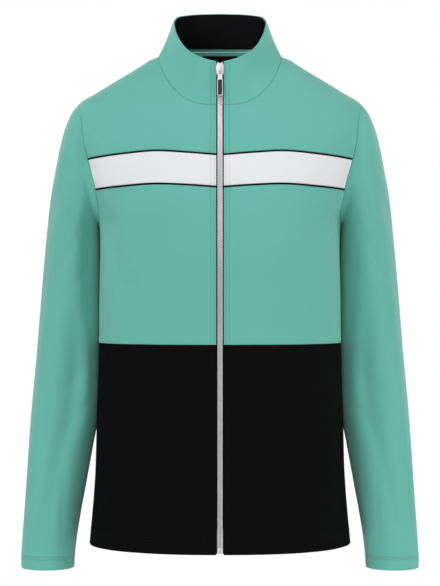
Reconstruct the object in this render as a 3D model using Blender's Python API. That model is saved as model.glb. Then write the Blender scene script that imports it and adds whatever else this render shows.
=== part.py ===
"""Sweat jacket, filled out as worn: stand collar, front zip, chest band, colour-block lower body.

Metres, +Z up. The front faces -Y and the wearer's left is +X. The origin lies
between the two high shoulder points, where the wearer's shoulders hold it up.
Each sewn piece is a closed wall: a grid of outer points, the same grid moved in
along its normals by the cloth's thickness, and a rim round the edge.
"""

import bpy
import bmesh
import math
import numpy as np

# ---------------------------------------------------------------- driving sizes

CLOTH = 0.0018            # double-knit body cloth
FACING_CLOTH = 0.0013     # inner collar cloth
FACING_GAP = 0.0007       # between the collar and its facing
LABEL_CLOTH = 0.0010
TAPE_CLOTH = 0.0011
SEAM_GAP = 0.0003         # between neighbouring pieces
HEM = -0.6535             # height of the body hem
BLOCK_SEAM = -0.385       # green above, black below
UNDERARM = -0.228         # height of the armhole's lowest point
SHOULDER_TIP = -0.0635    # height of the armhole's highest point
PIPING_WIDTH = 0.0022
PIPING_PROUD = 0.0009
CHAIN_WIDTH = 0.0064      # No. 5 zip, both rows of teeth closed
ZIP_OPENING = 0.0098      # between the folded edges of the fronts
LABEL_HALF_WIDTH = 0.025
LABEL_LEVELS = (1.27, 0.90, 0.53, 0.17)   # foot to head, in rows of the back below the neck seam
TAPE_REACH = 0.0140       # centre line to the tape's outer edge
ROUNDNESS = 2.3           # exponent of the body's rings
BODY_RADIUS = 0.15        # folds are measured across on a tube of this radius
SLEEVE_RADIUS = 0.05

# Level rings of the body: half width, and depth before and behind the side seams.
BODY_RINGS = [
    # height, half_width, front, back
    (0.0400, 0.0640, 0.0200, 0.0600),
    (0.0160, 0.0735, 0.0270, 0.0660),
    (0.0075, 0.0800, 0.0320, 0.0700),
    (0.0000, 0.0830, 0.0370, 0.0735),
    (-0.0045, 0.0950, 0.0400, 0.0755),
    (-0.0095, 0.1025, 0.0430, 0.0775),
    (-0.0176, 0.1154, 0.0485, 0.0815),
    (-0.0338, 0.1410, 0.0585, 0.0885),
    (-0.0500, 0.1667, 0.0690, 0.0945),
    (-0.0635, 0.1885, 0.0770, 0.0985),
    (-0.0745, 0.1965, 0.0830, 0.1015),
    (-0.0850, 0.1995, 0.0880, 0.1040),
    (-0.1000, 0.2005, 0.0945, 0.1070),
    (-0.1200, 0.1985, 0.1030, 0.1105),
    (-0.1400, 0.1925, 0.1095, 0.1130),
    (-0.1600, 0.1855, 0.1145, 0.1145),
    (-0.1800, 0.1785, 0.1190, 0.1150),
    (-0.2000, 0.1716, 0.1220, 0.1150),
    (-0.2150, 0.1660, 0.1235, 0.1143),
    (-0.2280, 0.1627, 0.1240, 0.1135),
    (-0.2450, 0.1615, 0.1240, 0.1124),
    (-0.2620, 0.1612, 0.1240, 0.1110),
    (-0.3150, 0.1622, 0.1200, 0.1050),
    (-0.3850, 0.1627, 0.1160, 0.1000),
    (-0.4400, 0.1640, 0.1150, 0.1000),
    (-0.4900, 0.1658, 0.1155, 0.1020),
    (-0.5520, 0.1674, 0.1165, 0.1060),
    (-0.5850, 0.1694, 0.1175, 0.1080),
    (-0.6170, 0.1721, 0.1185, 0.1100),
    (-0.6600, 0.1762, 0.1200, 0.1120),
]

# The seam where the collar joins the body, from the zip round to the centre back.
NECK_SEAM = [
    # turn, x, height
    (0.00, 0.0000, -0.0745),
    (0.12, 0.0227, -0.0730),
    (0.24, 0.0436, -0.0660),
    (0.36, 0.0612, -0.0495),
    (0.48, 0.0762, -0.0243),
    (0.60, 0.0830, 0.0000),
    (0.70, 0.0775, 0.0080),
    (0.80, 0.0600, 0.0125),
    (0.90, 0.0330, 0.0152),
    (1.00, 0.0000, 0.0160),
]

# The collar's top edge over the same turn.
COLLAR_TOP = [
    # turn, x, y, height
    (0.00, 0.0000, -0.0760, -0.0175),
    (0.12, 0.0230, -0.0730, -0.0110),
    (0.24, 0.0420, -0.0600, 0.0005),
    (0.36, 0.0548, -0.0390, 0.0180),
    (0.48, 0.0615, -0.0130, 0.0365),
    (0.60, 0.0632, 0.0120, 0.0495),
    (0.70, 0.0592, 0.0330, 0.0595),
    (0.80, 0.0468, 0.0495, 0.0645),
    (0.90, 0.0255, 0.0590, 0.0675),
    (1.00, 0.0000, 0.0615, 0.0685),
]
FACING_LIFT = 0.35         # of the collar's first row, left bare below the facing
COLLAR_HOLLOW = 0.0016    # how far the collar's side bows in between seam and top

# The chest band's two seams, rising over the bust and falling to the armhole.
BAND_SEAMS = [
    # x, upper, lower
    (0.000, -0.1410, -0.1830),
    (0.040, -0.1375, -0.1800),
    (0.083, -0.1348, -0.1780),
    (0.125, -0.1375, -0.1800),
    (0.200, -0.1450, -0.1850),
]

# The armhole seen from the side, an egg that is wider low down.
ARMHOLE_CENTRE = 0.004
ARMHOLE_HALF_DEPTH = 0.058
ARMHOLE_EGG = 0.08
ARMHOLE_ROUNDNESS = 2.5

# Sleeve rings below the armhole, as the two ends of each ring's chord in the front view.
SLEEVE_RINGS = [
    # outer_x, outer_z, inner_x, inner_z, middle_y, half_depth
    (0.1990, -0.0755, 0.1638, -0.2290, 0.0045, 0.0595),
    (0.2083, -0.0960, 0.1636, -0.2300, 0.0055, 0.0612),
    (0.2158, -0.1230, 0.1632, -0.2325, 0.0075, 0.0625),
    (0.2220, -0.1530, 0.1626, -0.2365, 0.0100, 0.0632),
    (0.2280, -0.1830, 0.1620, -0.2435, 0.0130, 0.0632),
    (0.2322, -0.2130, 0.1614, -0.2550, 0.0165, 0.0628),
    (0.2355, -0.2430, 0.1606, -0.2710, 0.0200, 0.0615),
    (0.2388, -0.2730, 0.1600, -0.2920, 0.0230, 0.0598),
    (0.2417, -0.3040, 0.1600, -0.3170, 0.0252, 0.0578),
    (0.2446, -0.3360, 0.1597, -0.3440, 0.0265, 0.0558),
    (0.2472, -0.3680, 0.1597, -0.3720, 0.0270, 0.0538),
    (0.2498, -0.4000, 0.1600, -0.4010, 0.0265, 0.0518),
    (0.2524, -0.4300, 0.1606, -0.4300, 0.0250, 0.0498),
    (0.2547, -0.4600, 0.1620, -0.4600, 0.0225, 0.0478),
    (0.2568, -0.4880, 0.1652, -0.4880, 0.0195, 0.0458),
    (0.2585, -0.5150, 0.1705, -0.5150, 0.0160, 0.0440),
    (0.2603, -0.5450, 0.1758, -0.5450, 0.0115, 0.0420),
    (0.2620, -0.5780, 0.1815, -0.5780, 0.0060, 0.0398),
    (0.2638, -0.6120, 0.1875, -0.6120, 0.0000, 0.0376),
    (0.2656, -0.6450, 0.1925, -0.6450, -0.0060, 0.0356),
    (0.2666, -0.6700, 0.1950, -0.6700, -0.0105, 0.0343),
    (0.2664, -0.6855, 0.1955, -0.6855, -0.0130, 0.0338),
]
SLEEVE_ROUNDNESS = 2.15
SLEEVE_CLEAR = 0.0018     # between the sleeve and the body's side

# Broad soft folds of the body, raised (+) or sunk (-) along the cloth's normal.
BODY_FOLDS = [
    # angle, height, tilt, half_length, half_width, depth
    (62, -0.250, 35, 0.070, 0.016, -0.0022),
    (-58, -0.262, -30, 0.080, 0.018, -0.0026),
    (48, -0.330, 20, 0.080, 0.026, 0.0016),
    (-44, -0.350, -16, 0.090, 0.024, -0.0018),
    (30, -0.560, 4, 0.090, 0.030, 0.0022),
    (-34, -0.575, -5, 0.085, 0.028, -0.0020),
    (66, -0.590, 3, 0.080, 0.022, -0.0022),
    (-70, -0.580, -3, 0.085, 0.024, 0.0020),
    (128, -0.300, -40, 0.080, 0.020, -0.0028),
    (-124, -0.310, 38, 0.085, 0.021, -0.0028),
    (150, -0.420, -10, 0.110, 0.026, 0.0026),
    (-156, -0.440, 12, 0.110, 0.026, 0.0024),
    (178, -0.360, 85, 0.070, 0.018, -0.0024),
    (165, -0.590, 3, 0.085, 0.026, -0.0024),
    (-140, -0.600, -4, 0.085, 0.026, -0.0022),
]

# Long folds of the sleeves, placed by ring angle and height.
SLEEVE_FOLDS = [
    # angle, height, tilt, half_length, half_width, depth
    (70, -0.300, 8, 0.130, 0.013, -0.0030),
    (118, -0.390, -6, 0.120, 0.012, 0.0028),
    (95, -0.520, 6, 0.120, 0.012, -0.0024),
    (45, -0.450, 4, 0.110, 0.014, 0.0020),
    (60, -0.180, 25, 0.050, 0.014, -0.0022),
    (255, -0.330, 8, 0.120, 0.014, -0.0028),
    (290, -0.440, -8, 0.110, 0.014, 0.0026),
    (265, -0.570, 6, 0.090, 0.012, -0.0022),
    (300, -0.200, -22, 0.055, 0.015, -0.0024),
]

# Zip hardware; depths are measured in from the body's outer surface.
TAPE_DEPTH = CLOTH + 0.0007
CHAIN_FRONT = 0.0002
CHAIN_BACK = 0.0028
BOX_LENGTH = 0.0070
ZIP_FOOT = HEM + 0.0020   # lower end of the bottom box
SLIDER_TOP = -0.0195
SLIDER_LENGTH = 0.0150
SLIDER_TOP_WIDTH = 0.0104
SLIDER_FOOT_WIDTH = 0.0088
PLATE = 0.0012            # thickness of the slider's front plate
PLATE_LIFT = 0.0005       # of the front plate off the cloth
REAR_PLATE = 0.0009
BRIDGE_WIDTH = 0.0024
BRIDGE_RISE = 0.0032
BRIDGE_BAR = 0.0010
POST = 0.0024             # side of the post that joins the two plates
HINGE_DROP = 0.0098       # slider top to the pull's hinge line
PULL_LENGTH = 0.0335
PULL_WIDTH = 0.0074
PULL_THICK = 0.0018
LINK_LENGTH = 0.0115      # hinge line to the tab
EYE_WIDTH = 0.0056
EYE_HOLE_LENGTH = 0.0050
EYE_BAR = 0.0012          # square bar that turns in the bridge
PULL_RIM = 0.0009         # metal round the pull's insert


# ---------------------------------------------------------------- curves and rings

def lookup(rows, column, at):
    """Smooth value of a table's column at a position in its first column."""
    rows = sorted(rows)
    keys = [row[0] for row in rows]
    values = [row[column] for row in rows]
    at = min(max(at, keys[0]), keys[-1])
    i = min(max(int(np.searchsorted(keys, at)) - 1, 0), len(keys) - 2)

    def slope(k):
        """Slope at a row that never overshoots its neighbours."""
        if k in (0, len(keys) - 1):
            j = min(k, len(keys) - 2)
            return (values[j + 1] - values[j]) / (keys[j + 1] - keys[j])
        before = (values[k] - values[k - 1]) / (keys[k] - keys[k - 1])
        after = (values[k + 1] - values[k]) / (keys[k + 1] - keys[k])
        return 0.0 if before * after <= 0 else 2 * before * after / (before + after)

    span = keys[i + 1] - keys[i]
    t = (at - keys[i]) / span
    blend = t * t * (3 - 2 * t)
    return (values[i] + (values[i + 1] - values[i]) * blend
            + span * t * (1 - t) * (slope(i) * (1 - t) - slope(i + 1) * t))


def power(value, exponent):
    """A signed power, for rings between an ellipse and a rounded box."""
    return math.copysign(abs(value) ** exponent, value)


def fold_height(folds, angle, height, radius):
    """Sum of the soft folds at a place on a tube of the given radius."""
    total = 0.0
    for fold_angle, fold_z, tilt, half_length, half_width, depth in folds:
        turn = (angle - fold_angle + 180) % 360 - 180
        across = math.radians(turn) * radius
        along = height - fold_z
        c, s = math.cos(math.radians(tilt)), math.sin(math.radians(tilt))
        u = (across * c - along * s) / half_width
        v = (across * s + along * c) / half_length
        total += depth * math.exp(-u * u - v ** 4)
    return total


def ring_depth(z, front):
    """The body ring's depth on one side of the side seams."""
    return lookup(BODY_RINGS, 2 if front else 3, z)


def body_x(y, z):
    """Half width of the body's surface at a depth y."""
    share = min(abs(y) / ring_depth(z, y < 0), 1.0)
    return lookup(BODY_RINGS, 1, z) * (1 - share ** ROUNDNESS) ** (1 / ROUNDNESS)


def body_angle_at_x(x, z, front):
    """Angle round the body, 0 at the centre front, of the point at half width x."""
    share = min(x / lookup(BODY_RINGS, 1, z), 1.0)
    angle = math.degrees(math.asin(share ** (ROUNDNESS / 2)))
    return angle if front else 180 - angle


def body_angle_at_y(y, z):
    """Angle round the body of the point at depth y."""
    share = min(abs(y) / ring_depth(z, y < 0), 1.0)
    off_side = math.degrees(math.asin(share ** (ROUNDNESS / 2)))
    return 90 - off_side if y < 0 else 90 + off_side


def body_point(angle, z):
    """Point and outward normal of the body's outer surface."""
    s, c = math.sin(math.radians(angle)), math.cos(math.radians(angle))
    front = c > 0
    width, depth = lookup(BODY_RINGS, 1, z), ring_depth(z, front)
    u, v = power(s, 2 / ROUNDNESS), power(c, 2 / ROUNDNESS)
    point = np.array([width * u, -depth * v, z])
    step = 0.001
    grow_width = (lookup(BODY_RINGS, 1, z + step) - lookup(BODY_RINGS, 1, z - step)) / (2 * step)
    grow_depth = (ring_depth(z + step, front) - ring_depth(z - step, front)) / (2 * step)
    n = ROUNDNESS
    normal = np.array([
        power(u, n - 1) / width,
        -power(v, n - 1) / depth,
        -(abs(u) ** n * grow_width / width + abs(v) ** n * grow_depth / depth),
    ])
    normal /= np.linalg.norm(normal)
    return point + normal * fold_height(BODY_FOLDS, angle, z, BODY_RADIUS), normal


# ---------------------------------------------------------------- seams

def armhole(turn, shrink=0.0):
    """Angle and height on the body of a point of the armhole.

    turn runs from 0 at the shoulder tip through 90 in front to 180 under the arm
    and 270 behind; shrink draws the outline in towards the arm.
    """
    middle = (SHOULDER_TIP + UNDERARM) / 2
    half_height = (SHOULDER_TIP - UNDERARM) / 2 - shrink
    c, s = math.cos(math.radians(turn)), math.sin(math.radians(turn))
    c, s = power(c, 2 / ARMHOLE_ROUNDNESS), power(s, 2 / ARMHOLE_ROUNDNESS)
    z = middle + half_height * c
    half_depth = (ARMHOLE_HALF_DEPTH - shrink) * (1 - ARMHOLE_EGG * c)
    y = -half_depth * s + ARMHOLE_CENTRE * s * s
    return body_angle_at_y(y, z), z


def armhole_turn_at(z):
    """Turn of the armhole's front point at a height, by halving."""
    low, high = 0.0, 180.0
    for _ in range(40):
        middle = (low + high) / 2
        if armhole(middle)[1] > z:
            low = middle
        else:
            high = middle
    return low


def neck_angle_height(turn):
    """Angle and height of the neck seam on the body, 0 at the zip and 1 at the centre back."""
    x, z = lookup(NECK_SEAM, 1, turn), lookup(NECK_SEAM, 2, turn)
    return body_angle_at_x(x, z, turn < HIGH_SHOULDER), z


def zip_edge_angle(z):
    """Angle of the front's folded edge beside the zip."""
    return body_angle_at_x(ZIP_OPENING / 2, z, True)


def band_height(angle, column):
    """Height of a chest band seam at an angle round the body."""
    z = lookup(BAND_SEAMS, column, 0.08)
    for _ in range(4):
        z = lookup(BAND_SEAMS, column, abs(body_point(angle, z)[0][0]))
    return z


# ---------------------------------------------------------------- walls

def grid_normals(grid, closed):
    """Outward normals of a grid [row][column], whose columns may close into a ring."""
    if closed:
        across = np.roll(grid, -1, axis=1) - np.roll(grid, 1, axis=1)
    else:
        across = np.gradient(grid, axis=1)
    up = np.gradient(grid, axis=0)
    normals = np.cross(across, up)
    return normals / np.linalg.norm(normals, axis=2, keepdims=True)


def paint(mesh, name, colour, roughness, metallic=0.0):
    """Give a mesh its own Principled material."""
    material = bpy.data.materials.new(name)
    material.use_nodes = True
    shader = material.node_tree.nodes["Principled BSDF"]
    shader.inputs["Base Color"].default_value = (*colour, 1)
    shader.inputs["Roughness"].default_value = roughness
    shader.inputs["Metallic"].default_value = metallic
    material.diffuse_color = (*colour, 1)
    mesh.materials.append(material)


def add_object(name, mesh, finish, parent):
    """Link a mesh as a named, smooth-shaded object under its parent empty."""
    paint(mesh, name, *finish)
    mesh.shade_smooth()
    mesh.set_sharp_from_angle(angle=math.radians(40))
    obj = bpy.data.objects.new(name, mesh)
    bpy.context.collection.objects.link(obj)
    obj.parent = parent
    return obj


def wall(name, outer, inner, finish, parent, closed=False):
    """A closed wall between two grids of points; closed joins the last column to the first.

    Both faces split their quads on the same diagonal, so that walls stacked on the
    same points stay parallel.
    """
    rows, columns = outer.shape[:2]
    count = rows * columns
    mesh = bpy.data.meshes.new(name)
    faces = []
    spans = columns if closed else columns - 1
    for r in range(rows - 1):
        for c in range(spans):
            d = (c + 1) % columns
            quad = [r * columns + c, r * columns + d, (r + 1) * columns + d, (r + 1) * columns + c]
            for triangle in (quad[:3], [quad[0], quad[2], quad[3]]):
                faces.append(triangle)
                faces.append([count + k for k in reversed(triangle)])
    if closed:
        loops = [list(range(columns)), [(rows - 1) * columns + c for c in reversed(range(columns))]]
    else:
        loops = [list(range(columns))
                 + [r * columns + columns - 1 for r in range(1, rows)]
                 + [(rows - 1) * columns + c for c in range(columns - 2, -1, -1)]
                 + [r * columns for r in range(rows - 2, 0, -1)]]
    for loop in loops:
        for a, b in zip(loop, loop[1:] + loop[:1]):
            faces.append([b, a, count + a, count + b])
    points = np.concatenate([outer.reshape(-1, 3), inner.reshape(-1, 3)])
    mesh.from_pydata([tuple(p) for p in points], [], faces)
    bm = bmesh.new()
    bm.from_mesh(mesh)
    bmesh.ops.recalc_face_normals(bm, faces=bm.faces)
    bm.to_mesh(mesh)
    bm.free()
    return add_object(name, mesh, finish, parent)


def mirrored(grid):
    """The same grid on the wearer's right, with its columns reversed to keep facing out."""
    flipped = grid[:, ::-1].copy()
    flipped[..., 0] *= -1
    return flipped


def body_grid(places):
    """Outer points and normals for a grid of (angle, height) places on the body."""
    pairs = [[body_point(angle, z) for angle, z in row] for row in places]
    outer = np.array([[p for p, _ in row] for row in pairs])
    normals = np.array([[n for _, n in row] for row in pairs])
    return outer, normals


def panel(name, places, finish, parent):
    """A cloth panel over a grid of places on the body; returns its outer points and normals."""
    outer, normals = body_grid(places)
    wall(name, outer, outer - normals * CLOTH, finish, parent)
    return outer, normals


# ---------------------------------------------------------------- finishes

GREEN = ((0.112, 0.440, 0.360), 0.85)
BLACK = ((0.008, 0.008, 0.009), 0.85)
WHITE = ((0.760, 0.765, 0.790), 0.85)
SILVER = ((0.620, 0.620, 0.630), 0.30, 1.0)
RUBBER = ((0.010, 0.010, 0.010), 0.45)

# ---------------------------------------------------------------- grid sizes

FRONT_COLUMNS = 11
SHOULDER_COLUMNS = 5      # of the back, from the shoulder tip to the neck
BACK_NECK_COLUMNS = 6     # of the back, from the high shoulder point to the middle
LOWER_ROWS = 7
SIDE_ROWS = 4             # from the colour-block seam to the underarm
UNDERARM_ROWS = 3         # from the underarm to the chest band, in front
BAND_ROWS = 2
YOKE_ZIP_ROWS = 4         # from the chest band to the front neck
YOKE_NECK_ROWS = 7        # along the front neck seam
BACK_ARMHOLE_ROWS = 10
COLLAR_ROWS = 4
HIGH_SHOULDER = 0.60      # turn of the neck seam's high shoulder point
SHOULDER_END = 0.6        # degrees of armhole turn left at the shoulder seam

PIPING_ROOM = PIPING_WIDTH / 2 + SEAM_GAP
ZIP_TURN = 0.026          # turn of the neck seam's point on the zip opening's edge
BAND_END = 62             # angle round the body near which the chest band meets the armhole
SLEEVE_SHRINK = 0.0006    # the sleeve's first ring inside the armhole edge
SLEEVE_LIFT = 0.0001      # and out from it


def steps(start, end, count):
    """Even steps between two values or places, both ends included."""
    start, end = np.array(start, dtype=float), np.array(end, dtype=float)
    return [start + (end - start) * k / count for k in range(count + 1)]


def coons(bottom, top, left, right):
    """Places of a four-sided patch, blended from its four edges."""
    rows = []
    across, up = len(bottom) - 1, len(left) - 1
    for r in range(up + 1):
        v = r / up
        row = []
        for c in range(across + 1):
            u = c / across
            edges = ((1 - v) * np.array(bottom[c]) + v * np.array(top[c])
                     + (1 - u) * np.array(left[r]) + u * np.array(right[r]))
            corners = ((1 - v) * ((1 - u) * np.array(bottom[0]) + u * np.array(bottom[-1]))
                       + v * ((1 - u) * np.array(top[0]) + u * np.array(top[-1])))
            row.append(tuple(edges - corners))
        rows.append(row)
    return rows


def mirror_places(rows):
    """The same places on the wearer's right."""
    return [[(-angle, z) for angle, z in reversed(row)] for row in rows]


# ---------------------------------------------------------------- fronts

def zip_place(z):
    """Place on the front's folded edge beside the zip."""
    return zip_edge_angle(z), z


def level_row(z):
    """Level row across one front, from the zip to the side seam."""
    return steps(zip_place(z), (body_angle_at_y(-SEAM_GAP / 2, z), z), FRONT_COLUMNS)


def seam_turn(column, offset):
    """Turn of the armhole where a chest band seam meets it."""
    return armhole_turn_at(band_height(BAND_END, column) + offset)


def seam_row(column, offset):
    """Row across one front along a chest band seam, moved up or down."""
    end = armhole(seam_turn(column, offset))
    row = [[angle, band_height(angle, column) + offset]
           for angle, _ in steps(zip_place(end[1]), end, FRONT_COLUMNS)]
    row[0][0] = zip_edge_angle(row[0][1])
    row[-1] = end
    return row


def armhole_side(start, end, count):
    """Places up the armhole between two turns."""
    return [armhole(float(turn)) for turn in steps(start, end, count)]


def neck_edge(turn):
    """Place of a body panel's neck edge, a seam gap below the collar."""
    angle, z = neck_angle_height(turn)
    return (angle if turn > ZIP_TURN else zip_edge_angle(z)), z - SEAM_GAP


def shoulder_row(front, count):
    """Places along the shoulder seam from the high shoulder point to the tip."""
    neck = neck_edge(HIGH_SHOULDER)[1]
    tip = armhole(SHOULDER_END)[1]
    gap = -SEAM_GAP / 2 if front else SEAM_GAP / 2
    return [(body_angle_at_y(gap, float(z)), float(z)) for z in steps(neck, tip, count)]


def mid_rows():
    """Front panel between the colour-block seam and the chest band."""
    low = [level_row(float(z)) for z in steps(BLOCK_SEAM + SEAM_GAP / 2, UNDERARM, SIDE_ROWS)]
    top = seam_row(2, -PIPING_ROOM)
    left = [zip_place(float(z)) for z in steps(UNDERARM, top[0][1], UNDERARM_ROWS)]
    right = armhole_side(180, seam_turn(2, -PIPING_ROOM), UNDERARM_ROWS)
    right[0] = tuple(low[-1][-1])
    return low[:-1] + coons(low[-1], top, left, right)


def band_rows():
    """Chest band between its two pipings."""
    low, high = seam_row(2, PIPING_ROOM), seam_row(1, -PIPING_ROOM)
    left = [zip_place(float(z)) for z in steps(low[0][1], high[0][1], BAND_ROWS)]
    right = armhole_side(seam_turn(2, PIPING_ROOM), seam_turn(1, -PIPING_ROOM), BAND_ROWS)
    return coons(low, high, left, right)


def yoke_rows():
    """Front yoke, from the chest band up to the neck and shoulder seams."""
    low = seam_row(1, PIPING_ROOM)
    neck = [neck_edge(float(t)) for t in steps(ZIP_TURN, HIGH_SHOULDER, YOKE_NECK_ROWS)]
    left = [zip_place(float(z)) for z in steps(low[0][1], neck[0][1], YOKE_ZIP_ROWS)][:-1] + neck
    right = armhole_side(seam_turn(1, PIPING_ROOM), SHOULDER_END, YOKE_ZIP_ROWS + YOKE_NECK_ROWS)
    top = shoulder_row(True, FRONT_COLUMNS)
    left[-1], right[-1] = top[0], top[-1]
    return coons(low, top, left, right)


def build_front(side, word, parent):
    """The four panels and two pipings of one front."""
    lower = [level_row(float(z)) for z in steps(HEM, BLOCK_SEAM - SEAM_GAP / 2, LOWER_ROWS)]
    panels = (("front_lower_", lower, BLACK), ("front_mid_", mid_rows(), GREEN),
              ("chest_band_", band_rows(), WHITE), ("front_upper_", yoke_rows(), GREEN))
    for name, rows, finish in panels:
        panel(name + word, rows if side > 0 else mirror_places(rows), finish, parent)
    for column, level in ((1, "upper"), (2, "lower")):
        rows = [seam_row(column, offset) for offset in (-PIPING_WIDTH / 2, 0.0, PIPING_WIDTH / 2)]
        outer, normals = body_grid(rows if side > 0 else mirror_places(rows))
        rise = np.array([0.0, PIPING_PROUD, 0.0])[:, None, None]
        wall("piping_%s_%s" % (level, word), outer + normals * rise, outer - normals * CLOTH,
             BLACK, parent)


# ---------------------------------------------------------------- back

def back_row(z):
    """Level row across the left half of the back, from the side seam to the middle."""
    return steps((body_angle_at_y(SEAM_GAP / 2, z), z), (180, z), SHOULDER_COLUMNS + BACK_NECK_COLUMNS)


def whole_back(rows):
    """Rows of the left half carried on across the right half."""
    return [list(row) + [(360 - angle, z) for angle, z in reversed(row[:-1])] for row in rows]


def back_upper_rows():
    """Back panel from the colour-block seam to the neck and shoulder seams."""
    low = [back_row(float(z)) for z in steps(BLOCK_SEAM + SEAM_GAP / 2, UNDERARM, SIDE_ROWS)]
    shoulder = shoulder_row(False, SHOULDER_COLUMNS)[::-1]
    neck = [neck_edge(float(t)) for t in steps(HIGH_SHOULDER, 1.0, BACK_NECK_COLUMNS)]
    top = shoulder + neck[1:]
    left = armhole_side(180, 360 - SHOULDER_END, BACK_ARMHOLE_ROWS)
    left[0], left[-1] = tuple(low[-1][0]), top[0]
    right = [(180, float(z)) for z in steps(UNDERARM, top[-1][1], BACK_ARMHOLE_ROWS)]
    return whole_back(low[:-1] + coons(low[-1], top, left, right))


def build_back(parent):
    """The back's two panels; returns the upper one's points and normals."""
    lower = [back_row(float(z)) for z in steps(HEM, BLOCK_SEAM - SEAM_GAP / 2, LOWER_ROWS)]
    panel("back_lower", whole_back(lower), BLACK, parent)
    return panel("back_upper", back_upper_rows(), GREEN, parent)


# ---------------------------------------------------------------- sleeves

def sleeve_turns():
    """Ring angles of the sleeve's columns, at the points of the body's armhole edge."""
    upper, lower = seam_turn(1, 0.0), seam_turn(2, 0.0)
    front = (steps(0, upper, YOKE_ZIP_ROWS + YOKE_NECK_ROWS)[:-1] + steps(upper, lower, BAND_ROWS)[:-1]
             + steps(lower, 180, UNDERARM_ROWS)[:-1])
    return [float(turn) for turn in front + steps(180, 360, BACK_ARMHOLE_ROWS)[:-1]]


def sleeve_grid():
    """Rings of the left sleeve from the armhole to the cuff, with the rim normals of the first."""
    rings = []
    rim = []
    first = []
    turns = sleeve_turns()
    for turn in turns:
        point, normal = body_point(*armhole(turn, SLEEVE_SHRINK))
        first.append(point + normal * SLEEVE_LIFT)
        rim.append(normal)
    rings.append(first)
    for k, (outer_x, outer_z, inner_x, inner_z, middle_y, half_depth) in enumerate(SLEEVE_RINGS):
        near_armhole = max(0.0, 1 - k / 4)
        exponent = 2 / (SLEEVE_ROUNDNESS + (ARMHOLE_ROUNDNESS - SLEEVE_ROUNDNESS) * near_armhole)
        ring = []
        for turn in turns:
            c = power(math.cos(math.radians(turn)), exponent)
            s = power(math.sin(math.radians(turn)), exponent)
            x = (outer_x + inner_x) / 2 + (outer_x - inner_x) / 2 * c
            y = middle_y - half_depth * s
            z = (outer_z + inner_z) / 2 + (outer_z - inner_z) / 2 * c
            ring.append((max(x, body_x(y, z) + SLEEVE_CLEAR), y, z))
        rings.append(ring)
    grid = np.array(rings)
    normals = grid_normals(grid, True)
    for r in range(1, len(rings)):
        for c, turn in enumerate(turns):
            rise = fold_height(SLEEVE_FOLDS, turn, grid[r, c, 2], SLEEVE_RADIUS)
            grid[r, c] += normals[r, c] * rise * min(1.0, r / 3)
    return grid, np.array(rim)


def build_sleeve(side, word, parent):
    """One set-in sleeve, a single tube from armhole to cuff."""
    grid, rim = sleeve_grid()
    normals = grid_normals(grid, True)
    for c in range(len(rim)):
        turned = 1 - float(np.dot(rim[c], normals[0, c]))
        mitre = rim[c] + max(0.0, turned) * normals[0, c]
        normals[0, c] = mitre / np.linalg.norm(mitre)
    inner = grid - normals * CLOTH
    if side < 0:
        grid, inner = mirrored(grid), mirrored(inner)
    wall("sleeve_" + word, grid, inner, GREEN, parent, closed=True)


# ---------------------------------------------------------------- collar

def collar_grid(rows):
    """Outer points of the stand collar, from the wearer's left front round to the right."""
    turns = [float(t) for t in steps(ZIP_TURN, HIGH_SHOULDER, YOKE_NECK_ROWS)]
    turns += [float(t) for t in steps(HIGH_SHOULDER, 1.0, BACK_NECK_COLUMNS)][1:]
    around = [(1, t) for t in turns] + [(-1, t) for t in reversed(turns[:-1])]
    points = []
    for r in range(rows + 1):
        up = r / rows
        row = []
        for side, turn in around:
            foot = body_point(*neck_angle_height(turn))[0] + np.array([0, 0, SEAM_GAP])
            head = np.array([lookup(COLLAR_TOP, k, turn) for k in (1, 2, 3)])
            point = foot + (head - foot) * up
            sideways = math.sin(math.pi / 2 * min(turn / HIGH_SHOULDER, 1))
            hollow = COLLAR_HOLLOW * 4 * up * (1 - up) ** 1.5 * sideways
            point[:2] *= 1 - hollow / np.hypot(point[0], point[1])
            if turn == ZIP_TURN:
                point[0] = ZIP_OPENING / 2
            point[0] *= side
            row.append(point)
        points.append(row)
    return np.array(points)


def collar_normals(grid):
    """Outward normals of a collar grid, which runs from the left front round to the right."""
    normals = grid_normals(grid, False)
    centre = grid.mean(axis=(0, 1))
    outward = np.sum(normals * (grid - centre), axis=2).mean()
    return normals if outward > 0 else -normals


def build_collar(parent):
    """The collar's green outer wall and, on the same points moved in, its black facing."""
    grid = collar_grid(COLLAR_ROWS)
    normals = collar_normals(grid)
    wall("collar", grid, grid - normals * CLOTH, GREEN, parent)
    for points in (grid, normals):
        points[0] += (points[1] - points[0]) * FACING_LIFT
    past_tape = (TAPE_REACH + FACING_GAP - grid[:, 0, 0]) / (grid[:, 1, 0] - grid[:, 0, 0])
    for points in (grid, normals):
        points[:, 0] += (points[:, 1] - points[:, 0]) * past_tape[:, None]
        points[:, -1] += (points[:, -2] - points[:, -1]) * past_tape[:, None]
    sink = CLOTH + FACING_GAP
    wall("collar_facing", grid - normals * sink, grid - normals * (sink + FACING_CLOTH), BLACK, parent)


# ---------------------------------------------------------------- label

def build_label(back, parent):
    """The bare woven label inside the back neck, on the back panel's own points moved in."""
    outer, normals = back
    middle = outer.shape[1] // 2
    def at(grid, column, row):
        """Value of a grid between its points."""
        c, r = int(column), int(row)
        u, v = column - c, row - r
        d, t = min(c + 1, grid.shape[1] - 1), min(r + 1, grid.shape[0] - 1)
        return ((grid[r, c] * (1 - u) + grid[r, d] * u) * (1 - v)
                + (grid[t, c] * (1 - u) + grid[t, d] * u) * v)

    points, inward = [], []
    for level in LABEL_LEVELS:
        row = outer.shape[0] - 1 - level
        reach = LABEL_HALF_WIDTH / (at(outer, middle - 1, row)[0] - at(outer, middle, row)[0])
        columns = [middle - reach, middle, middle + reach]
        points.append([at(outer, column, row) for column in columns])
        inward.append([at(normals, column, row) for column in columns])
    points, inward = np.array(points), np.array(inward)
    sink = CLOTH + SEAM_GAP
    wall("neck_label", points - inward * sink, points - inward * (sink + LABEL_CLOTH), BLACK, parent)


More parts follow.
